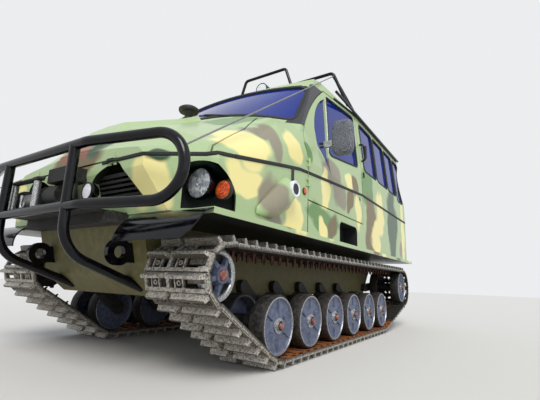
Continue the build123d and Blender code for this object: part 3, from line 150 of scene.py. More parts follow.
# The camera, reflections and glass see the plain surround, and everything else is lit by the sky
ray = put(tree, "ShaderNodeLightPath")
direct = ray.outputs["Is Camera Ray"]
for kind in ("Is Glossy Ray", "Is Transmission Ray"):
    direct = put(tree, "ShaderNodeMath", {0: direct, 1: ray.outputs[kind]}, operation="MAXIMUM")
shown = put(tree, "ShaderNodeBackground", {"Color": SURROUND_COLOUR, "Strength": 0.95})
feed(tree.nodes["World Output"], {"Surface": put(tree, "ShaderNodeMixShader", {0: direct, 1: lit, 2: shown})})

# Lamps: name, strength, spread in degrees, direction that the light travels
for name, strength, spread, way in (
    ("key", 2.3, 30, (-0.45, 0.62, -0.85)),
    ("fill", 0.5, 80, (-0.9, 0.1, -0.25)),
):
    lamp = bpy.data.lights.new(name, "SUN")
    lamp.energy = strength
    lamp.angle = radians(spread)
    lamp_object = bpy.data.objects.new(name, lamp)
    lamp_object.rotation_euler = Vector(way).to_track_quat("-Z", "Y").to_euler()
    bpy.context.collection.objects.link(lamp_object)

# ---------------------------------------------------------------- Body paint
# Pressed and moulded body panels in satin two-pack paint, sprayed freehand in soft-edged
# patches of sage, cream, taupe, olive brown and green over each other.
SAGE, CREAM, TAUPE = "#A9BE8B", "#F4E79B", "#8D8670"
BROWN, GREEN, DARK_GREEN, RUST_BROWN = "#6E5C2E", "#5F8A45", "#2E4A2B", "#8A4B2A"
PATCH_EDGE = 0.16  # half the width of a patch's soft edge, as a share of its radius
PATCH_WANDER = 0.32  # full swing of a patch's edge under the noise, in metres
MIRROR_FROM = 0.68  # a patch whose x is past this is there on both sides

# Sprayed patches, later over earlier: colour, middle x y z, half sizes x y z
PATCHES = [
    (GREEN, (1.05, 0.55, 1.55), (0.3, 0.20, 0.20)),
    (CREAM, (1.00, -1.60, 1.29), (0.25, 0.22, 0.13)),
    (CREAM, (1.05, -1.05, 1.42), (0.25, 0.10, 0.18)),
    (TAUPE, (1.05, -1.29, 1.40), (0.25, 0.09, 0.15)),
    (TAUPE, (1.05, -1.40, 1.44), (0.25, 0.08, 0.05)),
    (CREAM, (1.05, -1.55, 1.08), (0.25, 0.20, 0.09)),
    (TAUPE, (1.10, -1.38, 1.01), (0.25, 0.12, 0.16)),
    (CREAM, (1.05, -1.08, 0.96), (0.25, 0.12, 0.13)),
    (TAUPE, (1.05, -1.32, 0.90), (0.25, 0.11, 0.06)),
    (GREEN, (1.05, -0.80, 1.43), (0.25, 0.05, 0.09)),
    (TAUPE, (1.05, -0.40, 1.42), (0.25, 0.20, 0.12)),
    (CREAM, (1.05, -0.54, 1.27), (0.25, 0.06, 0.17)),
    (CREAM, (1.05, 0.00, 1.43), (0.25, 0.09, 0.12)),
    (TAUPE, (1.05, -0.25, 1.25), (0.25, 0.16, 0.10)),
    (BROWN, (1.05, 0.16, 1.42), (0.25, 0.09, 0.12)),
    (BROWN, (1.05, 0.02, 1.24), (0.25, 0.09, 0.09)),
    (CREAM, (1.05, 0.22, 1.18), (0.25, 0.08, 0.17)),
    (GREEN, (1.05, -0.55, 1.01), (0.25, 0.32, 0.12)),
    (BROWN, (1.05, -0.38, 1.00), (0.25, 0.09, 0.11)),
    (CREAM, (1.05, -0.56, 0.93), (0.25, 0.08, 0.11)),
    (BROWN, (1.05, 0.62, 1.12), (0.25, 0.17, 0.36)),
    (CREAM, (1.05, 0.95, 1.32), (0.25, 0.13, 0.26)),
    (CREAM, (1.05, 0.80, 0.98), (0.25, 0.14, 0.20)),
    (DARK_GREEN, (1.05, 1.48, 1.25), (0.25, 0.20, 0.50)),
    (CREAM, (1.05, 2.05, 1.25), (0.3, 0.10, 0.40)),
    (TAUPE, (0.9, 1.90, 1.00), (0.35, 0.12, 0.15)),
    (CREAM, (0.70, -1.97, 1.00), (0.14, 0.25, 0.13)),
    (DARK_GREEN, (0.72, -1.93, 1.12), (0.10, 0.10, 0.045)),
    (BROWN, (0.05, -2.0, 1.17), (0.26, 0.3, 0.12)),
    (RUST_BROWN, (-0.02, -1.95, 1.30), (0.22, 0.25, 0.10)),
    (DARK_GREEN, (0.22, -1.90, 1.30), (0.09, 0.22, 0.16)),
    (RUST_BROWN, (-0.62, -1.60, 1.45), (0.35, 0.35, 0.25)),
    (CREAM, (-0.10, -1.30, 1.80), (0.30, 0.25, 0.20)),
    (GREEN, (0.62, -1.25, 1.70), (0.22, 0.22, 0.20)),
    (TAUPE, (0.35, 0.10, 2.40), (0.38, 0.42, 0.2)),
    (CREAM, (-0.45, 0.70, 2.42), (0.42, 0.38, 0.2)),
    (GREEN, (0.40, 1.35, 2.42), (0.42, 0.42, 0.2)),
    (BROWN, (-0.35, 1.90, 2.38), (0.46, 0.34, 0.2)),
    (CREAM, (0.55, 2.18, 1.95), (0.26, 0.2, 0.24)),
    (TAUPE, (-0.60, 2.18, 1.75), (0.24, 0.2, 0.32)),
    (GREEN, (-0.15, 2.18, 1.30), (0.34, 0.2, 0.24)),
    (BROWN, (0.62, 2.18, 1.25), (0.24, 0.2, 0.26)),
]


def dress(finish, *names):
    """Gives CAD nodes a finish."""
    for name in names:
        nodes[name].data.materials.clear()
        nodes[name].data.materials.append(finish)


camouflage, tree, shader, place = material("sprayed_camouflage_two_pack_paint")
spot = put(tree, "ShaderNodeSeparateXYZ", {0: place.outputs["Object"]})
either_side = put(tree, "ShaderNodeMath", {0: spot.outputs["X"]}, operation="ABSOLUTE")
wander = put(tree, "ShaderNodeTexNoise", {"Vector": place.outputs["Object"], "Scale": 3.2, "Detail": 2.0})
wander = put(tree, "ShaderNodeVectorMath", {0: wander.outputs["Color"], 1: (0.5, 0.5, 0.5)},
             operation="SUBTRACT")
wander = put(tree, "ShaderNodeVectorMath", {0: wander, "Scale": PATCH_WANDER}, operation="SCALE")
moved = {}
for key, across in (("mirrored", either_side), ("single", spot.outputs["X"])):
    joined = put(tree, "ShaderNodeCombineXYZ", {"X": across, "Y": spot.outputs["Y"], "Z": spot.outputs["Z"]})
    moved[key] = put(tree, "ShaderNodeVectorMath", {0: joined, 1: wander}, operation="ADD")
paint = SAGE
for colour, middle, half in PATCHES:
    source = moved["mirrored" if middle[0] > MIRROR_FROM else "single"]
    off = put(tree, "ShaderNodeVectorMath", {0: source, 1: middle}, operation="SUBTRACT")
    off = put(tree, "ShaderNodeVectorMath", {0: off, 1: half}, operation="DIVIDE")
    far = put(tree, "ShaderNodeVectorMath", {0: off}, operation="LENGTH")
    inside = put(tree, "ShaderNodeMapRange", {
        "Value": far, "From Min": 1 + PATCH_EDGE, "From Max": 1 - PATCH_EDGE}, interpolation_type="SMOOTHSTEP")
    paint = put(tree, "ShaderNodeMix", {"Factor": inside, "A": paint, "B": colour}, data_type="RGBA")
feed(shader, {"Base Color": paint, "Roughness": 0.38, "Coat Weight": 0.25, "Coat Roughness": 0.2})
dress(camouflage, "side_panel_left", "side_panel_right", "roof", "rear_wall", "door_left", "door_right",
      "rear_door", "hood", "exhaust_pod")


# ---------------------------------------------------------------- Hull
# Welded steel boat hull under the deck, brushed with matt olive paint and dusty towards the
# ground. The suspension arms, guards and brackets are of welded steel in black enamel.
def mottled(name, base, marks, size_mm, rough=(0.4, 0.6), bump=0.1, metallic=0.0, share=(0.45, 0.6), shine=0.5):
    """A finish whose colour and roughness vary from base to marks in blotches of size_mm."""
    made, tree, shader, place = material(name)
    blotch = put(tree, "ShaderNodeTexNoise", {"Vector": place.outputs["Object"], "Scale": 1000 / size_mm,
                                              "Detail": 6.0, "Roughness": 0.6})
    spread = put(tree, "ShaderNodeMapRange", {"Value": blotch, "From Min": share[0], "From Max": share[1]})
    colour = put(tree, "ShaderNodeMix", {"Factor": spread, "A": base, "B": marks}, data_type="RGBA")
    dull = put(tree, "ShaderNodeMapRange", {"Value": blotch, "From Min": 0.35, "From Max": 0.65,
                                            "To Min": rough[0], "To Max": rough[1]})
    relief = put(tree, "ShaderNodeBump", {"Height": blotch, "Strength": bump, "Distance": 0.002})
    feed(shader, {"Base Color": colour, "Roughness": dull, "Normal": relief, "Metallic": metallic,
                  "Specular IOR Level": shine})
    return made


olive_paint = mottled("brushed_olive_hull_paint", "#5A5730", "#6E6640", 60, (0.5, 0.7), 0.15)
# Dipped enamel: deep blue-black with a wet gloss, which shows the sky along every tube.
black_enamel = mottled("gloss_black_stoving_enamel", "#030307", "#0A0B12", 40, (0.10, 0.20), 0.03, shine=0.3)
black_steel = mottled("dusty_black_chassis_paint", "#101114", "#34302B", 35, (0.5, 0.8), 0.2)
black_plastic = mottled("moulded_black_plastic", "#0E0E10", "#2A2A2C", 5, (0.45, 0.65), 0.1)
engine_iron = mottled("rough_cast_engine_iron", "#2B2B2C", "#3D3A36", 8, (0.6, 0.85), 0.4, 0.6)
dress(olive_paint, "hull_tub")
dress(black_enamel, "front_guard", "roof_guard", "searchlight", "grab_handles", "fender_lips", "work_lamp",
      "tow_eyes")
dress(black_steel, "suspension_arms", "tow_hitch", "winch")
dress(engine_iron, "engine_block")


# ---------------------------------------------------------------- Tracks
# About eighty cast steel shoes a side, pinned end to end. Each is an open frame with a narrow
# and a wide window, ringed bosses, a cross lug, and horns that run between the twin wheels.
def lofted(shape, rings, closed=False):
    """Joins rings of points into a skin, which is capped at both ends or else closed on itself."""
    rows = [[shape.verts.new(point) for point in ring] for ring in rings]
    for low, high in zip(rows, rows[1:] + rows[:1] if closed else rows[1:]):
        for k in range(len(low)):
            m = (k + 1) % len(low)
            shape.faces.new((low[k], low[m], high[m], high[k]))
    if not closed:
        shape.faces.new(rows[0][::-1])
        shape.faces.new(rows[-1])


def bar(shape, x, y, z, draw_in=0.0):
    """Adds a bar by its limits. draw_in narrows its low-z face on every side."""
    x, rings = sorted(x), []
    for height, inset in ((z[0], draw_in), (z[1], 0.0)):
        low_x, high_x, low_y, high_y = x[0] + inset, x[1] - inset, y[0] + inset, y[1] - inset
        rings.append([(*corner, height) for corner in
                      ((low_x, low_y), (high_x, low_y), (high_x, high_y), (low_x, high_y))])
    lofted(shape, rings)


def turned(shape, profile, centre, steps, axis="X", way=1):
    """Adds a turned solid: a closed profile of (along, radius) spun round a line through centre.

    A way of -1 turns it to face down the axis.
    """
    rings = []
    for i in range(steps):
        angle = 2 * pi * i / steps
        ring = []
        for along, radius in profile:
            a, b, c = way * along, radius * cos(angle), radius * sin(angle)
            offset = {"X": (a, b, c), "Y": (c, a, b), "Z": (b, c, a)}[axis]
            ring.append(shape.verts.new(Vector(centre) + Vector(offset)))
        rings.append(ring)
    for i in range(steps):
        for k in range(len(profile)):
            j, m = (i + 1) % steps, (k + 1) % len(profile)
            if profile[k][1] or profile[m][1]:
                shape.faces.new((rings[i][k], rings[j][k], rings[j][m], rings[i][m]))


def closed_mesh(name, shape, sharp=35):
    """Joins touching corners, turns the faces outwards and gives a mesh shaded smooth up to an angle."""
    bmesh.ops.remove_doubles(shape, verts=shape.verts, dist=0.00005)
    bmesh.ops.recalc_face_normals(shape, faces=shape.faces)
    mesh = bpy.data.meshes.new(name)
    shape.to_mesh(mesh)
    shape.free()
    mesh.shade_smooth()
    mesh.set_sharp_from_angle(angle=radians(sharp))
    return mesh


def new_tree(name, **sockets):
    """A Geometry Nodes tree with its named inputs, and the node that gives them."""
    tree = bpy.data.node_groups.new(name, "GeometryNodeTree")
    tree.interface.new_socket("Geometry", in_out="OUTPUT", socket_type="NodeSocketGeometry")
    for socket, kind in {"Geometry": "Geometry", **sockets, "Finish": "Material"}.items():
        tree.interface.new_socket(socket, in_out="INPUT", socket_type="NodeSocket" + kind)
    return tree, tree.nodes.new("NodeGroupInput")


def close_tree(tree, given, instances):
    """Ends a tree: instances made real, given their finish and put out."""
    real = put(tree, "GeometryNodeRealizeInstances", {0: instances})
    painted = put(tree, "GeometryNodeSetMaterial", {"Geometry": real, "Material": given.outputs["Finish"]})
    put(tree, "NodeGroupOutput", {0: painted})


def repeated(name, unit, tree, **inputs):
    """Runs a tree on one unit and keeps the result as a plain mesh object."""
    piece = bpy.data.objects.new(name, unit)
    bpy.context.collection.objects.link(piece)
    modifier = piece.modifiers.new(name, "NODES")
    modifier.node_group = tree
    for item in tree.interface.items_tree:
        if item.in_out == "INPUT" and item.name in inputs:
            modifier[item.identifier] = inputs[item.name]
    bpy.context.view_layer.update()
    result = bpy.data.meshes.new_from_object(piece.evaluated_get(bpy.context.evaluated_depsgraph_get()))
    piece.modifiers.clear()
    piece.data = result
    return piece


def carried(piece, body="vehicle", node=None):
    """Says which body carries a piece and which CAD node it stands for."""
    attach(piece, body)
    if node:
        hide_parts(node)
    return piece


def fitted(name, shape, finish, body="vehicle", node=None, sharp=35):
    """Makes a finished piece of a shape: meshed, coloured and carried by its body."""
    return carried(mesh_object(name, closed_mesh(name, shape, sharp), finish), body, node)


TRACK_X, TRACK_HALF = 0.824, 0.225
SHOE_PITCH, SHOE_GAP = 0.105, 0.007
PLATE, LUG = 0.033, 0.030  # plate thickness and lug height
# The rollers that the loop goes round, from the front and round by the bottom: y, z, radius
ROLLERS = [(-1.700, 0.535, 0.140), (-1.150, 0.247, 0.184), (1.040, 0.247, 0.184), (1.975, 0.490, 0.197)]
ARC_STEP = radians(4)

headings = []
for (y0, z0, r0), (y1, z1, r1) in zip(ROLLERS, ROLLERS[1:] + ROLLERS[:1]):
    headings.append(atan2(z1 - z0, y1 - y0) - asin((r1 - r0) / hypot(y1 - y0, z1 - z0)))
loop = []
for i, (y, z, radius) in enumerate(ROLLERS):
    start, turn = headings[i - 1] - pi / 2, (headings[i] - headings[i - 1]) % (2 * pi)
    steps = max(2, round(turn / ARC_STEP))
    loop += [(y + (radius + PLATE) * cos(start + turn * k / steps),
              z + (radius + PLATE) * sin(start + turn * k / steps)) for k in range(steps + 1)]
shoe_count = round(sum(hypot(a[0] - b[0], a[1] - b[1]) for a, b in zip(loop, loop[1:] + loop[:1])) / SHOE_PITCH)

# Cast manganese steel, dull brown-grey, with pale dust caught in its skin and fresh rust where
# the inner faces of the lowest shoes lie open to the rain. The deep faces of each shoe are painted dark as shade.
track_steel, tree, shader, place = material("cast_manganese_track_steel")
grit = put(tree, "ShaderNodeTexNoise", {"Vector": place.outputs["Object"], "Scale": 90.0, "Detail": 8.0,
                                        "Roughness": 0.7})
dusty = put(tree, "ShaderNodeMapRange", {"Value": grit, "From Min": 0.34, "From Max": 0.56})
# The attribute is how far a spot of a shoe stands out. Raised faces show pale dust and scuffs, and deep faces are
# painted dark as the shade in the shoe's windows
scuff_and_recess_shade = put(tree, "ShaderNodeAttribute", attribute_name="scuff_and_recess_shade")
dust_and_painted_shade = put(tree, "ShaderNodeMath", {0: dusty, 1: scuff_and_recess_shade.outputs["Fac"]}, operation="MULTIPLY")
steel = put(tree, "ShaderNodeMix", {"Factor": dust_and_painted_shade, "A": "#211E1B", "B": "#D2CCC0"},
            data_type="RGBA")
height = put(tree, "ShaderNodeSeparateXYZ", {0: place.outputs["Object"]}).outputs["Z"]
facing = put(tree, "ShaderNodeSeparateXYZ", {0: place.outputs["Normal"]}).outputs["Z"]
earth = put(tree, "ShaderNodeMapRange", {"Value": facing, "From Min": -0.15, "From Max": -0.6, "To Max": 0.8})
earthy = put(tree, "ShaderNodeMix", {"Factor": earth, "A": steel, "B": "#3E2E22"}, data_type="RGBA")
low_down = put(tree, "ShaderNodeMapRange", {"Value": height, "From Min": 0.125, "From Max": 0.10})
upwards = put(tree, "ShaderNodeMapRange", {"Value": facing, "From Min": 0.3, "From Max": 0.7})
rusty = put(tree, "ShaderNodeMath", {0: low_down, 1: upwards}, operation="MULTIPLY")
rust = put(tree, "ShaderNodeMix", {"Factor": grit, "A": "#8A3F16", "B": "#D98A4A"}, data_type="RGBA")
weathered = put(tree, "ShaderNodeMix", {"Factor": rusty, "A": earthy, "B": rust}, data_type="RGBA")
relief = put(tree, "ShaderNodeBump", {"Height": grit, "Strength": 0.5, "Distance": 0.002})
feed(shader, {"Base Color": weathered, "Normal": relief, "Roughness": 0.55, "Metallic": 0.45})
horn_steel = mottled("rusted_horn_steel", "#2A1710", "#6E3A22", 15, (0.6, 0.8), 0.3, 0.3)

shoe_tree, given = new_tree("shoes_along_a_loop", Path="Object", Shoes="Int")
path = put(shoe_tree, "GeometryNodeObjectInfo", {"Object": given.outputs["Path"]})
path = put(shoe_tree, "GeometryNodeMeshToCurve", {"Mesh": path.outputs["Geometry"]})
path = put(shoe_tree, "GeometryNodeResampleCurve", {"Curve": path, "Count": given.outputs["Shoes"]},
           mode="COUNT")
heading = put(shoe_tree, "GeometryNodeInputTangent")
turn_to = put(shoe_tree, "FunctionNodeAlignRotationToVector", {"Vector": heading}, axis="Y", pivot_axis="X")
close_tree(shoe_tree, given, put(shoe_tree, "GeometryNodeInstanceOnPoints", {
    "Points": path, "Instance": given.outputs["Geometry"], "Rotation": turn_to}))

# Bars of a shoe: limits in x, outwards from the track's middle, in y and in z, towards the
# wheels, and how much the outer face is drawn in
END = (SHOE_PITCH - SHOE_GAP) / 2
WHOLE, LUG_Y, PIN_Y = (-END, END), (-END, -END + 0.030), (-END + 0.01, END - 0.01)
BOSSES = (-0.140, 0.030)
SHOE_BARS = [
    # Frame: two cross bars, two end blocks and the divider between the windows
    ((-TRACK_HALF, TRACK_HALF), (-END, -END + 0.024), (0.008, PLATE), 0),
    ((-TRACK_HALF, TRACK_HALF), (END - 0.020, END), (0.006, PLATE), 0),
    ((-TRACK_HALF, -TRACK_HALF + 0.022), WHOLE, (0.004, PLATE), 0.003),
    ((TRACK_HALF - 0.024, TRACK_HALF), WHOLE, (0.004, PLATE), 0.003),
    ((-0.060, -0.034), WHOLE, (0.004, PLATE), 0.003),
    # Cross lug, broken at the divider, the pin lugs at both ends and a stiffening plate
    ((-TRACK_HALF + 0.012, -0.070), LUG_Y, (-LUG, 0.010), 0.007),
    ((-0.030, TRACK_HALF - 0.012), LUG_Y, (-LUG, 0.010), 0.007),
    ((-TRACK_HALF - 0.003, -TRACK_HALF + 0.004), PIN_Y, (0.010, PLATE - 0.006), 0),
    ((TRACK_HALF - 0.004, TRACK_HALF + 0.003), PIN_Y, (0.010, PLATE - 0.006), 0),
    ((0.075, 0.195), (-0.028, 0.010), (0.020, PLATE - 0.002), 0.003),
    # Floor webs under and beside the boss in each window
    *(((boss + off - half, boss + off + half), WHOLE, z, 0) for boss in BOSSES for off, half, z in (
        (0, 0.006, (0.022, PLATE - 0.002)), (-0.028, 0.004, (0.006, 0.026)), (0.028, 0.004, (0.006, 0.026)))),
]
BOSS_RING = [(0.028, 0.015), (0.006, 0.014), (0.006, 0.008), (0.028, 0.008)]
# Horns on the inner face, darker with rust than the shoe: height, half sizes in x and y, lean
HORN_X, HORN_TALL = 0.062, 0.052
HORN = ((PLATE - 0.002, 0.009, 0.014, 0), (PLATE + HORN_TALL * 0.6, 0.006, 0.009, 0.003),
        (PLATE + HORN_TALL, 0.003, 0.004, 0.009))
CORNERS = ((-1, -1), (1, -1), (1, 1), (-1, 1))
# Below the first height a shoe's faces turn pale over the depth; deeper faces keep the least share and are painted
# dark as shade
SCUFF_SHADE_FROM, SCUFF_SHADE_DEPTH, SCUFF_SHADE_LEAST = 0.026, 0.018, 0.04  # from this height down, over this depth

for side, word in SIDES:
    name = "track_" + word
    shoe, horns = bmesh.new(), bmesh.new()
    for x, y, z, draw_in in SHOE_BARS:
        bar(shoe, (side * x[0], side * x[1]), y, z, draw_in)
    for boss in BOSSES:
        turned(shoe, BOSS_RING, (side * boss, 0.004, 0), 12, "Z")
    for at in (-HORN_X, HORN_X):
        lofted(horns, [[(at + a * half_x, b * half_y + lean, high) for a, b in CORNERS]
                       for high, half_x, half_y, lean in HORN])
    bmesh.ops.recalc_face_normals(shoe, faces=shoe.faces)
    unit = bpy.data.meshes.new(name + "_shoe")
    shoe.to_mesh(unit)
    shoe.free()
    scuff_and_shade_layer = unit.attributes.new("scuff_and_recess_shade", "FLOAT", "POINT")
    for i, vertex in enumerate(unit.vertices):
        scuff_and_shade_layer.data[i].value = min(1.0, max(SCUFF_SHADE_LEAST, (SCUFF_SHADE_FROM - vertex.co.z) / SCUFF_SHADE_DEPTH))
    route = bpy.data.meshes.new(name + "_loop")
    route.from_pydata([(side * TRACK_X, y, z) for y, z in loop],
                      [(i, (i + 1) % len(loop)) for i in range(len(loop))], [])
    route_object = bpy.data.objects.new(name + "_loop", route)
    bpy.context.collection.objects.link(route_object)
    horn = closed_mesh(name + "_horn", horns)
    for part, mesh, finish in (("shoes", unit, track_steel), ("horns", horn, horn_steel)):
        piece = repeated(f"{name}_{part}", mesh, shoe_tree, Path=route_object, Shoes=shoe_count, Finish=finish)
        # Lug corners that would swing out past the loop's outline on a bend are worn down to it
        for vertex in piece.data.vertices:
            vertex.co.z = max(vertex.co.z, 0.0)
            vertex.co.y = min(vertex.co.y, cad_box[1][1])
        carried(piece, node=name)
    bpy.data.objects.remove(route_object)

# ---------------------------------------------------------------- Road wheels and idlers
# Twin pressed discs bolted to one hub, six a side, in slate-blue enamel with a worn bare rim.
# Each disc carries a bonded band of black rubber.
WHEEL_COUNT, WHEEL_STEP = 6, 0.438
WHEEL_FACE, BAND_WIDE = 0.187, 0.105

row_tree, given = new_tree("row_of_like_parts", Count="Int", Start="Vector", Step="Vector")
line = put(row_tree, "GeometryNodeMeshLine", {
    "Count": given.outputs["Count"], "Start Location": given.outputs["Start"], "Offset": given.outputs["Step"]})
close_tree(row_tree, given, put(row_tree, "GeometryNodeInstanceOnPoints", {
    "Points": line, "Instance": given.outputs["Geometry"]}))

rubber = mottled("bonded_black_rubber", "#121110", "#3A342E", 20, (0.6, 0.85), 0.2)
# Stove-dried enamel on pressed steel: satin slate blue with a haze of fine road dust.
wheel_enamel = mottled("slate_blue_wheel_enamel", "#4A5268", "#646C82", 25, (0.35, 0.55), 0.06)
# Steel that the track rubs bright: pale grey with fine scratches.
bare_steel = mottled("rubbed_bare_steel", "#8B8C90", "#D2D2D0", 6, (0.25, 0.5), 0.2, 0.8)
red_oxide = mottled("red_oxide_hub_primer", "#7A3A32", "#A8776A", 12, (0.5, 0.7), 0.1)
WHEEL_FINISHES = {"bands": rubber, "rims": bare_steel, "discs": wheel_enamel, "hubs": bare_steel,
                  "caps": red_oxide, "axles": black_steel}

# Profiles of (outwards, radius). Those of the discs start from the wheel's face or the band's
# back edge, and from the wheel's radius.
HUB = [(0.168, 0), (0.168, 0.050), (0.186, 0.047), (0.187, 0.034), (0.198, 0.033), (0.199, 0.024), (0.199, 0)]
HUB_CAP = [(0.198, 0), (0.198, 0.020), (0.211, 0.018), (0.214, 0.012), (0.214, 0)]
AXLE = [(-0.16, 0), (-0.16, 0.055), (0.16, 0.055), (0.16, 0)]
# The two ends of a rib: distance from the centre, half width, height of the crest
WHEEL_RIB = ((0.078, 0.005, 0.185), (0.148, 0.003, 0.181))


def rib(shape, centre, side, angle, ends, foot, crest, deep):
    """Adds a tapered rib along a disc's radius, its width scaled by foot and crest."""
    along, over = Vector((0, cos(angle), sin(angle))), Vector((0, -sin(angle), cos(angle)))
    rings = []
    for widen, drop in ((foot, deep), (crest, 0)):
        rings.append([])
        for (far, half, top), way in zip((ends[0], ends[0], ends[1], ends[1]), (-1, 1, 1, -1)):
            flat = along * far + over * half * widen * way
            rings[-1].append(Vector(centre) + flat + Vector((side * (top - drop), 0, 0)))
    lofted(shape, rings)


def wheel_parts(side, radius):
    """The unit shapes of one twin wheel, centred on its hub."""
    shapes = {part: bmesh.new() for part in WHEEL_FINISHES}
    face, back = WHEEL_FACE, WHEEL_FACE - BAND_WIDE
    for part, profile in (
        ("bands", [(face - 0.002, radius - 0.014), (face - 0.002, radius - 0.004), (face - 0.008, radius),
                   (back + 0.008, radius), (back, radius - 0.004), (back, radius - 0.014)]),
        ("rims", [(face + 0.002, radius - 0.012), (face + 0.003, radius - 0.018),
                  (face - 0.008, radius - 0.022), (back + 0.004, radius - 0.020), (back + 0.002, radius - 0.0135)]),
        ("discs", [(face - 0.003, radius - 0.019), (face - 0.012, radius - 0.028), (face - 0.016, 0.088),
                   (face - 0.010, 0.066), (face - 0.010, 0), (face - 0.020, 0), (face - 0.028, 0.090),
                   (face - 0.022, radius - 0.024), (face - 0.012, radius - 0.019)]),
    ):
        for way in (side, -side):
            turned(shapes[part], profile, (0, 0, 0), 48, way=way)
    for i in range(6):
        rib(shapes["discs"], (0, 0, 0), side, pi / 6 + i * pi / 3, WHEEL_RIB, 1.8, 1, 0.012)
    turned(shapes["hubs"], HUB, (0, 0, 0), 32, way=side)
    turned(shapes["caps"], HUB_CAP, (0, 0, 0), 24, way=side)
    turned(shapes["axles"], AXLE, (0, 0, 0), 24)
    return shapes


for side, word in SIDES:
    for group, node, count, (y, z, radius) in (("road_wheel", "road_wheels_" + word, WHEEL_COUNT, ROLLERS[1]),
                                               ("idler", "rear_idlers", 1, ROLLERS[3])):
        for part, shape in wheel_parts(side, radius).items():
            unit = closed_mesh("wheel_" + part, shape)
            piece = repeated(f"{group}_{part}_{word}", unit, row_tree, Count=count, Finish=WHEEL_FINISHES[part],
                             Start=(side * TRACK_X, y, z), Step=(0, WHEEL_STEP, 0))
            carried(piece, node=node)

# ---------------------------------------------------------------- Drive sprockets
# A toothed steel ring carried on a cast spider with five arms and a red-primed hub cover,
# bolted over the final drive in front of the wheels.
SPROCKET_RING = [(0.126, 0.137), (0.146, 0.137), (0.150, 0.130), (0.150, 0.112), (0.144, 0.106), (0.126, 0.106)]
SPIDER_HUB = [(0.125, 0), (0.125, 0.060), (0.160, 0.052), (0.176, 0.044), (0.176, 0)]
HUB_COVER = [(0.174, 0), (0.174, 0.030), (0.184, 0.028), (0.188, 0.020), (0.188, 0)]
SPIDER_ARM = ((0.035, 0.024, 0.172), (0.112, 0.013, 0.148))

dress(track_steel, "drive_sprockets")
for side, word in SIDES:
    centre = (side * TRACK_X, *ROLLERS[0][:2])
    for part, profile, steps, finish in (
        ("ring", SPROCKET_RING, 48, bare_steel),
        ("spider", SPIDER_HUB, 32, wheel_enamel),
        ("cover", HUB_COVER, 24, red_oxide),
    ):
        shape = bmesh.new()
        for i in range(5 if part == "spider" else 0):
            rib(shape, centre, side, radians(54) + i * 2 * pi / 5, SPIDER_ARM, 1, 0.6, 0.022)
        turned(shape, profile, centre, steps, way=side)
        fitted(f"sprocket_{part}_{word}", shape, finish)


# ---------------------------------------------------------------- Body joint strip
# The lower and upper body mouldings meet in a long waist joint, which a black rubber strip
# covers. It is pressed into the joint in lengths: nose, door and cabin side.
def search_tree(*names):
    """The faces of CAD nodes, as one tree that rays are cast on."""
    corners, faces = [], []
    for name in names:
        first = len(corners)
        corners += [nodes[name].matrix_world @ vertex.co for vertex in nodes[name].data.vertices]
        faces += [[first + k for k in face.vertices] for face in nodes[name].data.polygons]
    return BVHTree.FromPolygons(corners, faces)


skin = search_tree("body_lower", "front_cowl", "side_panel_left", "side_panel_right", "door_left", "door_right",
                   "door_left_glass", "door_right_glass", "side_windows", "windshield", "roof", "rear_wall",
                   "hood")
CLEAR_X, CLEAR_Y = 1.4, -2.4  # beside and in front of the whole body


def outermost(start, out, spread):
    """The body's outer face under start. Looks just above and below it too, past any gap."""
    found = [skin.ray_cast(start + Vector((0, 0, off)), -out)[0] for off in (-spread, spread)]
    point = max((hit for hit in found if hit), key=out.dot)
    return Vector((point.x, point.y, start.z))


def on_side(side, y, z, spread=0.0):
    """The outer face of the body's side at y and z."""
    return outermost(Vector((side * CLEAR_X, y, z)), Vector((side, 0, 0)), spread)


def spaced(start, end, count):
    """Numbers from start to end in count even steps."""
    return [start + (end - start) * k / count for k in range(count + 1)]


def swept(shape, path, profile, out, closed=False):
    """Carries a closed profile of (across, outwards) along a path. out is one way or a list of them."""
    rings, count = [], len(path)
    outs = out if isinstance(out, list) else [Vector(out)] * count
    for i, point in enumerate(path):
        ahead = path[(i + 1) % count] if closed or i < count - 1 else point
        behind = path[i - 1] if closed or i else point
        along = (ahead - behind).normalized()
        across = along.cross(outs[i]).normalized()
        lift = across.cross(along)
        rings.append([point + across * a + lift * b for a, b in profile])
    lofted(shape, rings, closed)


def low_section(wide, proud, sunk=0.004):
    """A low half-round section."""
    half = wide / 2
    return [(-half, -sunk), (-half, proud * 0.3), (-half * 0.6, proud),
            (half * 0.6, proud), (half, proud * 0.3), (half, -sunk)]


door_seal = mottled("black_extruded_door_rubber", "#0B0C0E", "#1F2123", 9, (0.5, 0.75), 0.15)


def laid(name, path, section, out, body="vehicle", finish=door_seal, closed=False):
    """A length of strip laid along a path on the body."""
    shape = bmesh.new()
    swept(shape, path, section, out, closed)
    fitted(name, shape, finish, body)


SEAM = [(-2.300, 1.150), (-1.858, 1.140), (-0.991, 1.293), (0.334, 1.394), (2.300, 1.385)]  # y, z
STRIP_STEP = 0.03


def seam_z(y):
    """Height of the waist joint at y."""
    for (y0, z0), (y1, z1) in zip(SEAM, SEAM[1:]):
        if y <= y1:
            return z0 + (z1 - z0) * (y - y0) / (y1 - y0)


for side, word in SIDES:
    for part, start, end, body in (("nose", -1.700, -0.870, "vehicle"), ("door", -0.852, 0.342, "door_" + word),
                                   ("cabin", 0.362, 2.160, "vehicle")):
        steps = round((end - start) / STRIP_STEP)
        path = [on_side(side, y, seam_z(y), 0.012) for y in spaced(start, end, steps)]
        laid(f"joint_strip_{part}_{word}", path, low_section(0.024, 0.007), (side, 0, 0), body)

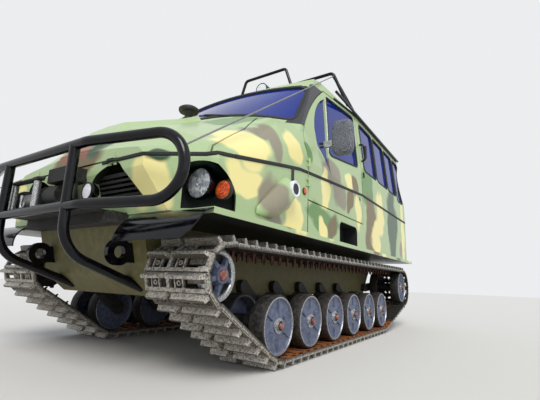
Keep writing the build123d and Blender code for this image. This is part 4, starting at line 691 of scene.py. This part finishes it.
# The strip goes on round the nose under the hood, as far as the opening of the winch
NOSE_Z, CORNER_X, CORNER_Y, CORNER_STEPS = 1.141, 0.850, -1.700, 12
for side, word in SIDES:
    path = [outermost(Vector((side * x, CLEAR_Y, NOSE_Z)), Vector((0, -1, 0)), 0.010)
            for x in spaced(0.320, CORNER_X, 22)]
    outs = [Vector((0, -1, 0))] * len(path)
    for k, turn in enumerate(spaced(0, pi / 2, CORNER_STEPS)[1:], 1):
        out = Vector((side * sin(turn), -cos(turn), 0))
        height = NOSE_Z + (seam_z(CORNER_Y) - NOSE_Z) * max(0, (k - 5) / 7)
        path.append(outermost(Vector((side * CORNER_X, CORNER_Y, height)) + out * 0.6, out, 0.012))
        outs.append(out)
    laid("joint_strip_front_" + word, path, low_section(0.022, 0.006), outs)


# ---------------------------------------------------------------- Windows and their rubbers
# Toughened tinted panes held in black rubber sections, which hide each pane's edge. The
# windshield's rubber is broader and stands prouder.
def rounded(outline, radius, steps=6):
    """A closed outline with its corners rounded."""
    points = []
    for i, corner in enumerate(outline):
        before = (outline[i - 1] - corner).normalized()
        after = (outline[(i + 1) % len(outline)] - corner).normalized()
        bend = before.dot(after)
        reach = radius * min(1.3, max(0.7, sqrt((1 + bend) / (1 - bend))))
        points += [corner + before * reach * (1 - t) ** 2 + after * reach * t ** 2 for t in spaced(0, 1, steps)]
    return points


def even(points, spacing):
    """A closed outline cut into short even steps, so that it can follow a curved wall."""
    made = []
    for here, after in zip(points, points[1:] + points[:1]):
        steps = max(1, round((after - here).length / spacing))
        made += [here.lerp(after, k / steps) for k in range(steps)]
    return made


WINDOWS = [  # body, corners y z, corner radius
    ("vehicle", ((0.455, 1.690), (0.880, 1.690), (0.880, 2.225), (0.455, 2.225)), 0.060),
    ("vehicle", ((0.925, 1.690), (1.340, 1.690), (1.340, 2.225), (0.925, 2.225)), 0.060),
    ("vehicle", ((1.385, 1.690), (1.755, 1.690), (1.755, 2.225), (1.385, 2.225)), 0.060),
    ("vehicle", ((1.810, 1.640), (2.095, 1.640), (2.095, 2.225), (1.810, 2.225)), 0.060),
    ("door", ((-0.385, 1.600), (0.245, 1.672), (0.275, 2.225), (-0.265, 2.225)), 0.045),
]
GASKET_OUT = 0.006  # how far the rubber's middle runs outside the pane
for side, word in SIDES:
    rubber_of = {"vehicle": bmesh.new(), "door": bmesh.new()}
    for body, corners, radius in WINDOWS:
        corners = [Vector(corner) for corner in corners]
        middle = sum(corners, Vector((0, 0))) / 4
        grown = [c + Vector((GASKET_OUT if c.x > middle.x else -GASKET_OUT,
                             GASKET_OUT if c.y > middle.y else -GASKET_OUT)) for c in corners]
        ring = [on_side(side, y, z, 0.012) for y, z in even(rounded(grown, radius), 0.04)]
        swept(rubber_of[body], ring, low_section(0.017, 0.005, 0.014), (side, 0, 0), closed=True)
    fitted("window_rubbers_" + word, rubber_of["vehicle"], door_seal)
    fitted("door_window_rubber_" + word, rubber_of["door"], door_seal, "door_" + word)

screen_face = search_tree("windshield")
SCREEN_MIDDLE_Z, BACKWARDS = 1.990, Vector((0, 1, 0))


def on_screen(x, z):
    """The outer face of the windshield at x and z, or its nearest edge, and the way out of it."""
    found = screen_face.ray_cast(Vector((x, CLEAR_Y, z)), BACKWARDS)[0]
    if not found:
        inside = Vector((x * 0.9, CLEAR_Y, SCREEN_MIDDLE_Z + (z - SCREEN_MIDDLE_Z) * 0.8))
        found = screen_face.find_nearest(Vector((x, screen_face.ray_cast(inside, BACKWARDS)[0].y, z)))[0]
    return found, Vector((x * 0.3, -1, 0.6))


# The pane's outline seen from the front: its lower edge, then its upper edge, both bowed
screen = [Vector((x, 1.750 + 0.080 * (1 - (x / 0.922) ** 2))) for x in spaced(-0.908, 0.908, 24)]
screen += [Vector((x, 2.228 + 0.034 * (1 - (x / 0.874) ** 2))) for x in spaced(0.862, -0.862, 24)]
places, outs = zip(*(on_screen(x, z) for x, z in even(screen, 0.05)))
laid("windshield_rubber", places, low_section(0.040, 0.018), list(outs), closed=True)

# Two wipers: a pressed black arm from a spindle under the screen, and a rubber blade
WIPERS = ((0.42, 0.02, 1.93), (-0.38, -0.76, 1.90))  # x of the foot, x and z of the blade's tip
WIPER_PARTS = (  # z of the foot, shares of the way to the tip, distance off the glass, section
    (1.800, spaced(0, 0.75, 4), Vector((0, -0.022, 0.010)), low_section(0.012, 0.004)),
    (1.785, (0.30, 0.48, 0.66, 0.83, 1), Vector((0, -0.010, 0.005)), low_section(0.008, 0.010)),
)
for k, (foot_x, tip_x, tip_z) in enumerate(WIPERS, 1):
    wiper = bmesh.new()
    for foot_z, shares, off, section in WIPER_PARTS:
        path = [on_screen(foot_x + (tip_x - foot_x) * t, foot_z + (tip_z - foot_z) * t)[0] + off
                for t in shares]
        swept(wiper, path, section, (0, -1, 0.6))
    fitted(f"wiper_{k}", wiper, black_plastic)

# Panel joint in front of the door, gutter bead over the windows, and the bright bar that
# parts the door's quarter window from its sliding pane
for side, word in SIDES:
    laid("panel_joint_" + word, [on_side(side, -0.862, z) for z in (0.862, 0.92, 0.98, 1.04, 1.086)],
         low_section(0.008, 0.002), (side, 0, 0))
    laid("gutter_" + word, [on_side(side, y, 2.288, 0.004) for y in spaced(-0.10, 2.14, 40)],
         low_section(0.020, 0.010), (side, 0, 0))
    laid("window_bar_" + word, [on_side(side, -0.402 + 0.120 * t, 1.615 + 0.600 * t) for t in spaced(0, 1, 5)],
         low_section(0.012, 0.004), (side, 0, 0), "door_" + word, bare_steel)


# ---------------------------------------------------------------- Door furniture
# A round key lock in a black cup on each front door, a small hook lock behind it, a sleeve
# on each mirror arm, a rubber grip on each grab handle and a check strap on the cowl.
def spun(name, profile, centre, steps, axis, finish, body="vehicle", node=None, way=1):
    """A finished piece of one turned profile."""
    shape = bmesh.new()
    turned(shape, profile, centre, steps, axis, way)
    fitted(name, shape, finish, body, node)


LOCK_CUP = [(-0.002, 0), (-0.002, 0.019), (0.003, 0.017), (0.003, 0)]
LOCK = [(0.002, 0), (0.002, 0.011), (0.007, 0.009), (0.007, 0)]
GRIP = [(1.800, 0), (1.800, 0.012), (1.806, 0.0135), (1.929, 0.0135), (1.935, 0.012), (1.935, 0)]
for side, word in SIDES:
    door, face = "door_" + word, on_side(side, 0.271, 1.340)
    spun("lock_cup_" + word, LOCK_CUP, face, 28, "X", black_plastic, door, way=side)
    spun("door_lock_" + word, LOCK, face, 20, "X", bare_steel, door, way=side)
    hook_lock, sleeve = bmesh.new(), bmesh.new()
    face = on_side(side, 0.412, 1.615)
    bar(hook_lock, (face.x - side * 0.003, face.x + side * 0.009), (0.398, 0.420), (1.595, 1.650))
    fitted("hook_lock_" + word, hook_lock, black_plastic)
    bar(sleeve, (side * 1.075, side * 1.150), (-0.654, -0.626), (1.566, 1.616), 0.003)
    fitted("mirror_sleeve_" + word, sleeve, bare_steel, door)
    spun("handle_grip_" + word, GRIP, (side * 1.075, 0.398, 0), 20, "Z", rubber)
    laid("check_strap_" + word, [on_side(side, -1.098, z) for z in spaced(1.268, 1.103, 4)],
         low_section(0.028, 0.010), (side, 0, 0), finish=black_plastic)

# ---------------------------------------------------------------- Headlamps
# Round sealed-beam lamps of 178 mm, each a pressed black bucket and rim round an aluminised
# bowl, under a fluted glass lens. Three screws hold the rim.
FLUTE_PITCH = 0.009
lens_glass, tree, shader, place = material("fluted_lamp_glass")
spot = put(tree, "ShaderNodeSeparateXYZ", {0: place.outputs["Object"]})
flutes = put(tree, "ShaderNodeMath", {0: spot.outputs["X"], 1: 2 * pi / FLUTE_PITCH}, operation="MULTIPLY")
flutes = put(tree, "ShaderNodeMath", {0: flutes}, operation="SINE")
facets = put(tree, "ShaderNodeTexVoronoi", {"Vector": place.outputs["Object"], "Scale": 70.0})
pressed = put(tree, "ShaderNodeMath", {0: flutes, 1: facets.outputs["Distance"]}, operation="ADD")
relief = put(tree, "ShaderNodeBump", {"Height": pressed, "Strength": 0.8, "Distance": 0.003})
haze = put(tree, "ShaderNodeTexNoise", {"Vector": place.outputs["Object"], "Scale": 60.0})
haze = put(tree, "ShaderNodeMapRange", {"Value": haze, "To Min": 0.02, "To Max": 0.12})
# The lens is coloured facet by facet from grey-blue to white, as painted glints and shade in the fluted glass
glint_share = put(tree, "ShaderNodeSeparateColor", {0: facets.outputs["Color"]})
painted_facet_glints = put(tree, "ShaderNodeMix", {"Factor": glint_share, "A": "#8E99A3", "B": "#FFFFFF"},
            data_type="RGBA")
feed(shader, {"Base Color": painted_facet_glints, "Normal": relief, "Roughness": haze, "Transmission Weight": 0.15,
              "Coat Weight": 0.6, "IOR": 1.5})

# Vacuum-coated aluminium, all but a mirror, with faint clouding from moisture.
mirror_coat = mottled("aluminised_reflector", "#DADCE0", "#F2F3F5", 30, (0.05, 0.16), 0.01, 1.0)
orange_lens = mottled("orange_acrylic_lens", "#B83C10", "#E06A2A", 14, (0.12, 0.25), 0.05)
red_lens = mottled("red_acrylic_lens", "#8E0E10", "#C22A24", 14, (0.12, 0.25), 0.05)
white_lens = mottled("opal_acrylic_lens", "#DDE2E6", "#F3F5F6", 14, (0.15, 0.3), 0.05)
pod_face = search_tree("lamp_pods")
LAMP_R, SCREW_OUT = 0.089, 0.0845
HEADLAMP, SIGNAL = (0.880, -1.805, 1.010), (1.008, -1.755, 0.971)
MARKER_Y, MARKER_Z = -0.923, 1.147

# Profiles of (backwards, radius), from each lamp's face
LAMP_RIM = [(0.002, 0.080), (-0.004, 0.083), (-0.003, 0.0875), (0.006, LAMP_R), (0.030, LAMP_R),
            (0.038, 0.084), (0.040, 0.068), (0.098, 0.063), (0.098, 0), (0.092, 0), (0.092, 0.058),
            (0.036, 0.062), (0.028, 0.080)]
RIM_SCREW = [(-0.006, 0), (-0.006, 0.004), (0.004, 0.005), (0.004, 0)]
LAMP_BOWL = [(0.003, 0.0795), (0.020, 0.0720), (0.040, 0.055), (0.055, 0.034), (0.062, 0.012), (0.062, 0),
             (0.066, 0), (0.066, 0.014), (0.059, 0.037), (0.043, 0.058), (0.023, 0.0745), (0.005, 0.0798)]
LAMP_LENS = [(-0.012, 0), (-0.0115, 0.020), (-0.009, 0.045), (-0.004, 0.068), (0.001, 0.0795), (0.004, 0.0795),
             (0.000, 0.067), (-0.0055, 0.044), (-0.008, 0.020), (-0.0085, 0)]
BULB = [(0.022, 0), (0.024, 0.008), (0.032, 0.011), (0.060, 0.011), (0.060, 0)]
SIGNAL_CUP = [(0.001, 0.047), (0.000, 0.052), (0.004, 0.054), (0.022, 0.054), (0.025, 0.040), (0.040, 0.038),
              (0.040, 0), (0.034, 0), (0.034, 0.034), (0.018, 0.037)]
SIGNAL_LENS = [(-0.009, 0), (-0.009, 0.007), (-0.006, 0.008), (-0.006, 0.014), (-0.0085, 0.015),
               (-0.0085, 0.022), (-0.005, 0.023), (-0.005, 0.030), (-0.007, 0.031), (-0.006, 0.038),
               (-0.003, 0.039), (0.000, 0.0475), (0.010, 0.0475), (0.010, 0)]
# Profiles of (outwards, radius), from the body's side
MARKER_CUP = [(-0.001, 0), (-0.001, 0.026), (0.007, 0.026), (0.007, 0)]
MARKER_LENS = [(0.006, 0), (0.006, 0.022), (0.010, 0.021), (0.0125, 0.014), (0.014, 0)]


def round_section(radius, steps, out=0.0):
    """A round section, its middle moved outwards by out."""
    turns = [2 * pi * k / steps for k in range(steps)]
    return [(radius * cos(turn), out + radius * sin(turn)) for turn in turns]


def stem(shape, start, way, radius, reach):
    """A round stem from a lamp's back to the recess plate behind it."""
    start, way = Vector(start), Vector(way).normalized()
    hit = pod_face.ray_cast(start, way)[0]
    end = hit if hit and (hit - start).length < reach else start + way * reach
    swept(shape, [start, end], round_section(radius, 16), (0, 0, 1))


for side, word in SIDES:
    face = x, y, z = side * HEADLAMP[0], *HEADLAMP[1:]
    rim = bmesh.new()
    turned(rim, LAMP_RIM, face, 64, "Y")
    for turn in (pi / 2, pi * 7 / 6, pi * 11 / 6):
        turned(rim, RIM_SCREW, (x + SCREW_OUT * cos(turn), y, z + SCREW_OUT * sin(turn)), 10, "Y")
    stem(rim, (x, y + 0.090, z), (0, 1, 0), 0.016, 0.20)
    fitted("headlamp_rim_" + word, rim, black_enamel, node="headlamps")
    for part, profile, steps, finish in (
        ("bowl", LAMP_BOWL, 64, mirror_coat),
        ("lens", LAMP_LENS, 64, lens_glass),
        ("bulb", BULB, 20, white_lens),
    ):
        spun(f"headlamp_{part}_{word}", profile, face, steps, "Y", finish, node="headlamps")

# ---------------------------------------------------------------- Turn signals and side markers
# Orange acrylic lenses with moulded rings, screwed on black cups. The side markers are small
# round ones on the body's side.
for side, word in SIDES:
    face = x, y, z = side * SIGNAL[0], *SIGNAL[1:]
    cup = bmesh.new()
    turned(cup, SIGNAL_CUP, face, 48, "Y")
    stem(cup, (x - side * 0.010, y + 0.030, z), (-0.7 * side, 0.7, 0), 0.016, 0.24)
    fitted("signal_cup_" + word, cup, black_plastic, node="signal_lamps")
    for name, profile, at, steps, axis, finish in (
        ("signal_lens_", SIGNAL_LENS, face, 48, "Y", orange_lens),
        ("marker_cup_", MARKER_CUP, on_side(side, MARKER_Y, MARKER_Z), 32, "X", black_plastic),
        ("marker_lens_", MARKER_LENS, on_side(side, MARKER_Y, MARKER_Z), 32, "X", orange_lens),
    ):
        spun(name + word, profile, at, steps, axis, finish, node="signal_lamps",
             way=side if axis == "X" else 1)

# ---------------------------------------------------------------- Rear lamps
# Upright lamp units on the rear wall: a black base with a red tail and stop lens, an orange
# turn lens and a clear reversing lens, each with moulded ribs.
REAR_LAMP_X, BASE_HALF, LENS_HALF, RIB_HALF = 0.940, 0.055, 0.047, 0.0025
rear_lamps = nodes["rear_lamps"]
back = max((rear_lamps.matrix_world @ vertex.co).y for vertex in rear_lamps.data.vertices)
for side, word in SIDES:
    x = side * REAR_LAMP_X
    base = bmesh.new()
    bar(base, (x - BASE_HALF, x + BASE_HALF), (back - 0.035, back - 0.012), (0.920, 1.180))
    fitted("rear_lamp_base_" + word, base, black_plastic, node="rear_lamps")
    for part, finish, low, high in (("tail", red_lens, 1.055, 1.172), ("turn", orange_lens, 0.992, 1.050),
                                    ("reverse", white_lens, 0.928, 0.987)):
        lens = bmesh.new()
        bar(lens, (x - LENS_HALF, x + LENS_HALF), (back - 0.014, back - 0.004), (low, high))
        for rib_x in spaced(x - 0.038, x + 0.0376, 7):
            bar(lens, (rib_x - RIB_HALF, rib_x + RIB_HALF), (back - 0.006, back), (low + 0.006, high - 0.006))
        fitted(f"rear_lamp_{part}_{word}", lens, finish, node="rear_lamps")

# ---------------------------------------------------------------- Work lamp and searchlight
# Round lamps pressed from black steel, with pale moulded lenses: one is bolted to the winch
# shelf, one under the hoop on the roof.
for name, face, radius in (
    ("work_lamp", (0.385, -2.120, 0.945), 0.050),
    ("searchlight", (0, -0.020, 2.690), 0.075),
):
    rim = [(-0.001, radius - 0.008), (-0.006, radius - 0.006), (-0.006, radius - 0.001),
           (0.002, radius + 0.001), (0.010, radius + 0.001), (0.010, radius - 0.008)]
    lens = [(-0.006, 0), (-0.0055, radius * 0.5), (-0.002, radius - 0.0085), (0.001, radius - 0.008),
            (0.001, 0)]
    spun(name + "_rim", rim, face, 48, "Y", black_enamel)
    spun(name + "_lens", lens, face, 48, "Y", white_lens)

# ---------------------------------------------------------------- Winch
# An electric winch behind the guard: steel rope wound on the drum, a roller fairlead of two
# bright rollers, and a forged hook drawn up to them.
WINCH_X, WINCH_Y, WINCH_Z = -0.253, -2.065, 0.965
ROPE_R, DRUM_R, TURNS, DRUM_LONG = 0.0045, 0.036, 32, 0.300
HOOK_Y, HOOK_R = -2.160, 0.007
rope_steel = mottled("galvanised_winch_rope", "#77787A", "#A9A9A6", 5, (0.35, 0.6), 0.3, 0.7)
turn_of_rope = bmesh.new()
turned(turn_of_rope, round_section(ROPE_R, 8, DRUM_R + ROPE_R), (0, 0, 0), 36)
rope = repeated("winch_rope", closed_mesh("rope_turn", turn_of_rope), row_tree, Count=TURNS,
                Start=(WINCH_X - DRUM_LONG / 2 + 0.006, WINCH_Y, WINCH_Z), Step=(2 * ROPE_R + 0.0003, 0, 0),
                Finish=rope_steel)
carried(rope)
rollers, hook = bmesh.new(), bmesh.new()
for x in (WINCH_X - 0.143, WINCH_X + 0.143):
    turned(rollers, [(0.868, 0), (0.868, 0.0205), (1.052, 0.0205), (1.052, 0)], (x, -2.148, 0), 32, "Z")
fitted("fairlead_rollers", rollers, bare_steel)
bend = [Vector((WINCH_X, -2.158, 0.955)), Vector((WINCH_X, HOOK_Y, 0.925))]
bend += [Vector((WINCH_X + 0.022 - 0.022 * cos(turn), HOOK_Y, 0.915 - 0.024 * sin(turn)))
         for turn in spaced(0, pi, 10)]
bend += [Vector((WINCH_X + 0.046, HOOK_Y, 0.930))]
swept(hook, bend, round_section(HOOK_R, 12), (0, -1, 0))
turned(hook, [(0.950, 0), (0.950, 0.011), (0.975, 0.010), (0.975, 0)], (WINCH_X, -2.158, 0), 16, "Z")
fitted("winch_hook", hook, bare_steel)

# ---------------------------------------------------------------- Heater outlet
# A white moulded lip clipped round the heater's exhaust, which leaves the pod sideways. The
# pipe's mouth inside it is a shallow black disc, painted as the shade inside the pipe.
OUTLET = (0, -1.176, 1.096)
LIP = [(1.102, 0.056), (1.124, 0.056), (1.129, 0.048), (1.125, 0.037), (1.102, 0.036)]
MOUTH = [(1.100, 0), (1.100, 0.0365), (1.1245, 0.0365), (1.1225, 0.020), (1.1215, 0)]
spun("heater_lip", LIP, OUTLET, 40, "X", white_lens)
spun("heater_mouth", MOUTH, OUTLET, 32, "X", black_plastic)

# ---------------------------------------------------------------- Seats
# Foam cushions under black woven covers, sewn from panels with piped edges: two front seats
# with backs, and two benches. Each sits on a boxed steel base.
THREAD = 0.004  # drawn at several times the real 0.5 mm, as fine as the picture can show
seat_cloth, tree, shader, place = material("black_woven_seat_cloth")
spot = put(tree, "ShaderNodeSeparateXYZ", {0: place.outputs["Object"]})
threads = []
for axis in "XY":
    phase = put(tree, "ShaderNodeMath", {0: spot.outputs[axis], 1: 2 * pi / THREAD}, operation="MULTIPLY")
    threads.append(put(tree, "ShaderNodeMath", {0: phase}, operation="SINE"))
weave = put(tree, "ShaderNodeMath", {0: threads[0], 1: threads[1]}, operation="MULTIPLY")
relief = put(tree, "ShaderNodeBump", {"Height": weave, "Strength": 0.4, "Distance": 0.001})
worn = put(tree, "ShaderNodeTexNoise", {"Vector": place.outputs["Object"], "Scale": 14.0, "Detail": 4.0})
cloth = put(tree, "ShaderNodeMix", {"Factor": worn, "A": "#141518", "B": "#34363A"}, data_type="RGBA")
feed(shader, {"Base Color": cloth, "Normal": relief, "Roughness": 0.9, "Sheen Weight": 0.3})
GROOVE_DEEP, GROOVE_HALF, FOAM_FILL = 0.13, 0.09, 0.9


def cushion(name, middle, size, seams, thin):
    """A crowned cushion with piped edges and stitched grooves. thin is its padded axis."""
    shape = bmesh.new()
    bmesh.ops.create_cube(shape, size=1.0)
    bmesh.ops.subdivide_edges(shape, edges=shape.edges, cuts=15, use_grid_fill=True)
    long_axis = max(range(3), key=lambda a: size[a] if a != thin else 0)
    for vertex in shape.verts:
        flat = [part * 2 for part in vertex.co]
        puffed = 1.0
        for a in range(3):
            if a != thin:
                puffed *= 1 - abs(flat[a]) ** 3 * 0.55
        puffed *= 1 - sum(GROOVE_DEEP * max(0.0, 1 - abs(flat[long_axis] - at) / GROOVE_HALF) for at in seams)
        edge = 1 - 0.07 * abs(flat[thin]) ** 4
        for a in range(3):
            vertex.co[a] = middle[a] + flat[a] * size[a] / 2 * (puffed if a == thin else edge)
    cover = fitted(name, shape, seat_cloth, node="seats", sharp=60)


SEAT_X, BENCH_X, BASE_X_HALF, FLOOR_Z = 0.48, 0.725, 0.20, 0.846
bases = bmesh.new()
for side, word in SIDES:
    seat_x, bench_x = side * SEAT_X, side * BENCH_X
    cushion("front_cushion_" + word, (seat_x, -0.080, 1.245), (0.50, 0.48, 0.14), (-0.5, 0.5), 2)
    cushion("front_back_" + word, (seat_x, 0.170, 1.560), (0.48, 0.12, 0.54), (-0.4, 0.1, 0.5), 1)
    cushion("bench_" + word, (bench_x, 1.300, 1.245), (0.44, 1.36, 0.11), (-0.5, 0, 0.5), 2)
    bar(bases, (seat_x - BASE_X_HALF, seat_x + BASE_X_HALF), (-0.27, 0.11), (FLOOR_Z, 1.190))
    bar(bases, (bench_x - BASE_X_HALF, bench_x + BASE_X_HALF), (0.64, 1.96), (FLOOR_Z, 1.205))
fitted("seat_bases", bases, black_steel, node="seats")

# ---------------------------------------------------------------- Door mirrors
# A blow-moulded grey head with well rounded corners, carried on two black tubes clamped to
# the door. Its flat back holds the looking glass.
MIRROR_X, MIRROR_Y, MIRROR_Z = 1.235, -0.640, 1.625
MIRROR_HALF = (0.085, 0.040, 0.1425)
SQUARENESS, FLAT_FROM = 4.5, 0.72  # how boxy the head is, and where its back is cut flat
mirror_shell = mottled("weathered_grey_mirror_moulding", "#2E3036", "#83858E", 7, (0.45, 0.7), 0.3,
                       share=(0.40, 0.62))
for side, word in SIDES:
    middle = side * MIRROR_X, MIRROR_Y, MIRROR_Z
    head, arms, looking_glass = bmesh.new(), bmesh.new(), bmesh.new()
    bmesh.ops.create_cube(head, size=2.0)
    bmesh.ops.subdivide_edges(head, edges=head.edges, cuts=13, use_grid_fill=True)
    for vertex in head.verts:
        vertex.co /= sum(abs(part) ** SQUARENESS for part in vertex.co) ** (1 / SQUARENESS)
        vertex.co.y = min(vertex.co.y, FLAT_FROM)
        vertex.co = [at + part * half for at, part, half in zip(middle, vertex.co, MIRROR_HALF)]
    back = MIRROR_Y + FLAT_FROM * MIRROR_HALF[1]
    bar(looking_glass, (middle[0] - 0.064, middle[0] + 0.064), (back - 0.002, back + 0.003),
        (MIRROR_Z - 0.118, MIRROR_Z + 0.118))
    for z in (1.575, 1.607):
        turned(arms, [(1.036, 0), (1.036, 0.0095), (1.170, 0.0095), (1.170, 0)], (0, MIRROR_Y, z), 20, way=side)
    for part, shape, finish in (("head", head, mirror_shell), ("arms", arms, black_plastic),
                                ("glass", looking_glass, mirror_coat)):
        fitted(f"mirror_{part}_{word}", shape, finish, "door_" + word, "mirror_" + word, 50)

# ---------------------------------------------------------------- Glass, plastics and small fittings
# Deep blue-tinted safety glass all round; moulded black plastic for the grille, dashboard and
# steps, dark green for the lamp recesses; bare wire rope for the deflector stays.
glass, tree, shader, place = material("blue_tinted_safety_glass")
streaks = put(tree, "ShaderNodeTexNoise", {"Vector": place.outputs["Object"], "Scale": 2.5, "Detail": 2.0})
tint = put(tree, "ShaderNodeMix", {"Factor": streaks, "A": "#0A2478", "B": "#123AA6"},
           data_type="RGBA")
film = put(tree, "ShaderNodeMapRange", {"Value": streaks, "To Min": 0.02, "To Max": 0.10})
feed(shader, {"Base Color": tint, "Roughness": film, "Transmission Weight": 0.25, "Specular IOR Level": 0.22,
              "IOR": 1.5})
green_moulding = mottled("dark_green_moulded_recess", "#10221C", "#1E362C", 30, (0.4, 0.6), 0.1)
dress(black_plastic, "grille", "dashboard", "air_intake", "steering_wheel", "step_niches")
dress(green_moulding, "lamp_pods")
dress(rope_steel, "deflector_stays")
dress(glass, "windshield", "side_windows", "door_left_glass", "door_right_glass", "rear_door_glass")


def recoloured_for_trim_and_shade(name, colour, limits):
    """The camouflage, turned to one colour inside every limit.

    A limit is a kind of coordinate, its axis, and where along it the colour starts and is full.
    """
    made = camouflage.copy()
    made.name = name
    tree = made.node_tree
    shader = tree.nodes["Principled BSDF"]
    place = put(tree, "ShaderNodeTexCoord")
    inside = 1.0
    for kind, axis, start, full in limits:
        along = put(tree, "ShaderNodeSeparateXYZ", {0: place.outputs[kind]}).outputs[axis]
        if axis == "X":  # the same on both sides
            along = put(tree, "ShaderNodeMath", {0: along}, operation="ABSOLUTE")
        edge = put(tree, "ShaderNodeMapRange", {"Value": along, "From Min": start, "From Max": full})
        inside = put(tree, "ShaderNodeMath", {0: edge, 1: inside}, operation="MULTIPLY")
    sprayed = shader.inputs["Base Color"].links[0].from_socket
    feed(shader, {"Base Color": put(tree, "ShaderNodeMix", {"Factor": inside, "A": sprayed, "B": colour},
                                    data_type="RGBA")})
    return made


# The windshield pillars are masked off and sprayed black, as a dark surround of the screen
dress(recoloured_for_trim_and_shade("sprayed_camouflage_with_black_pillars", "#15171E", (
    ("Object", "X", 0.868, 0.872), ("Object", "Z", 1.716, 1.720), ("Object", "Z", 2.262, 2.258))), "front_cowl")
# The flange's underside is painted black as the shade beneath it, and only its edge and top show the camouflage
dress(recoloured_for_trim_and_shade("sprayed_camouflage_over_black_underseal", "#0D0E0D", (("Normal", "Z", -0.5, -0.7),)),
      "deck", "body_lower")

bpy.context.view_layer.update()
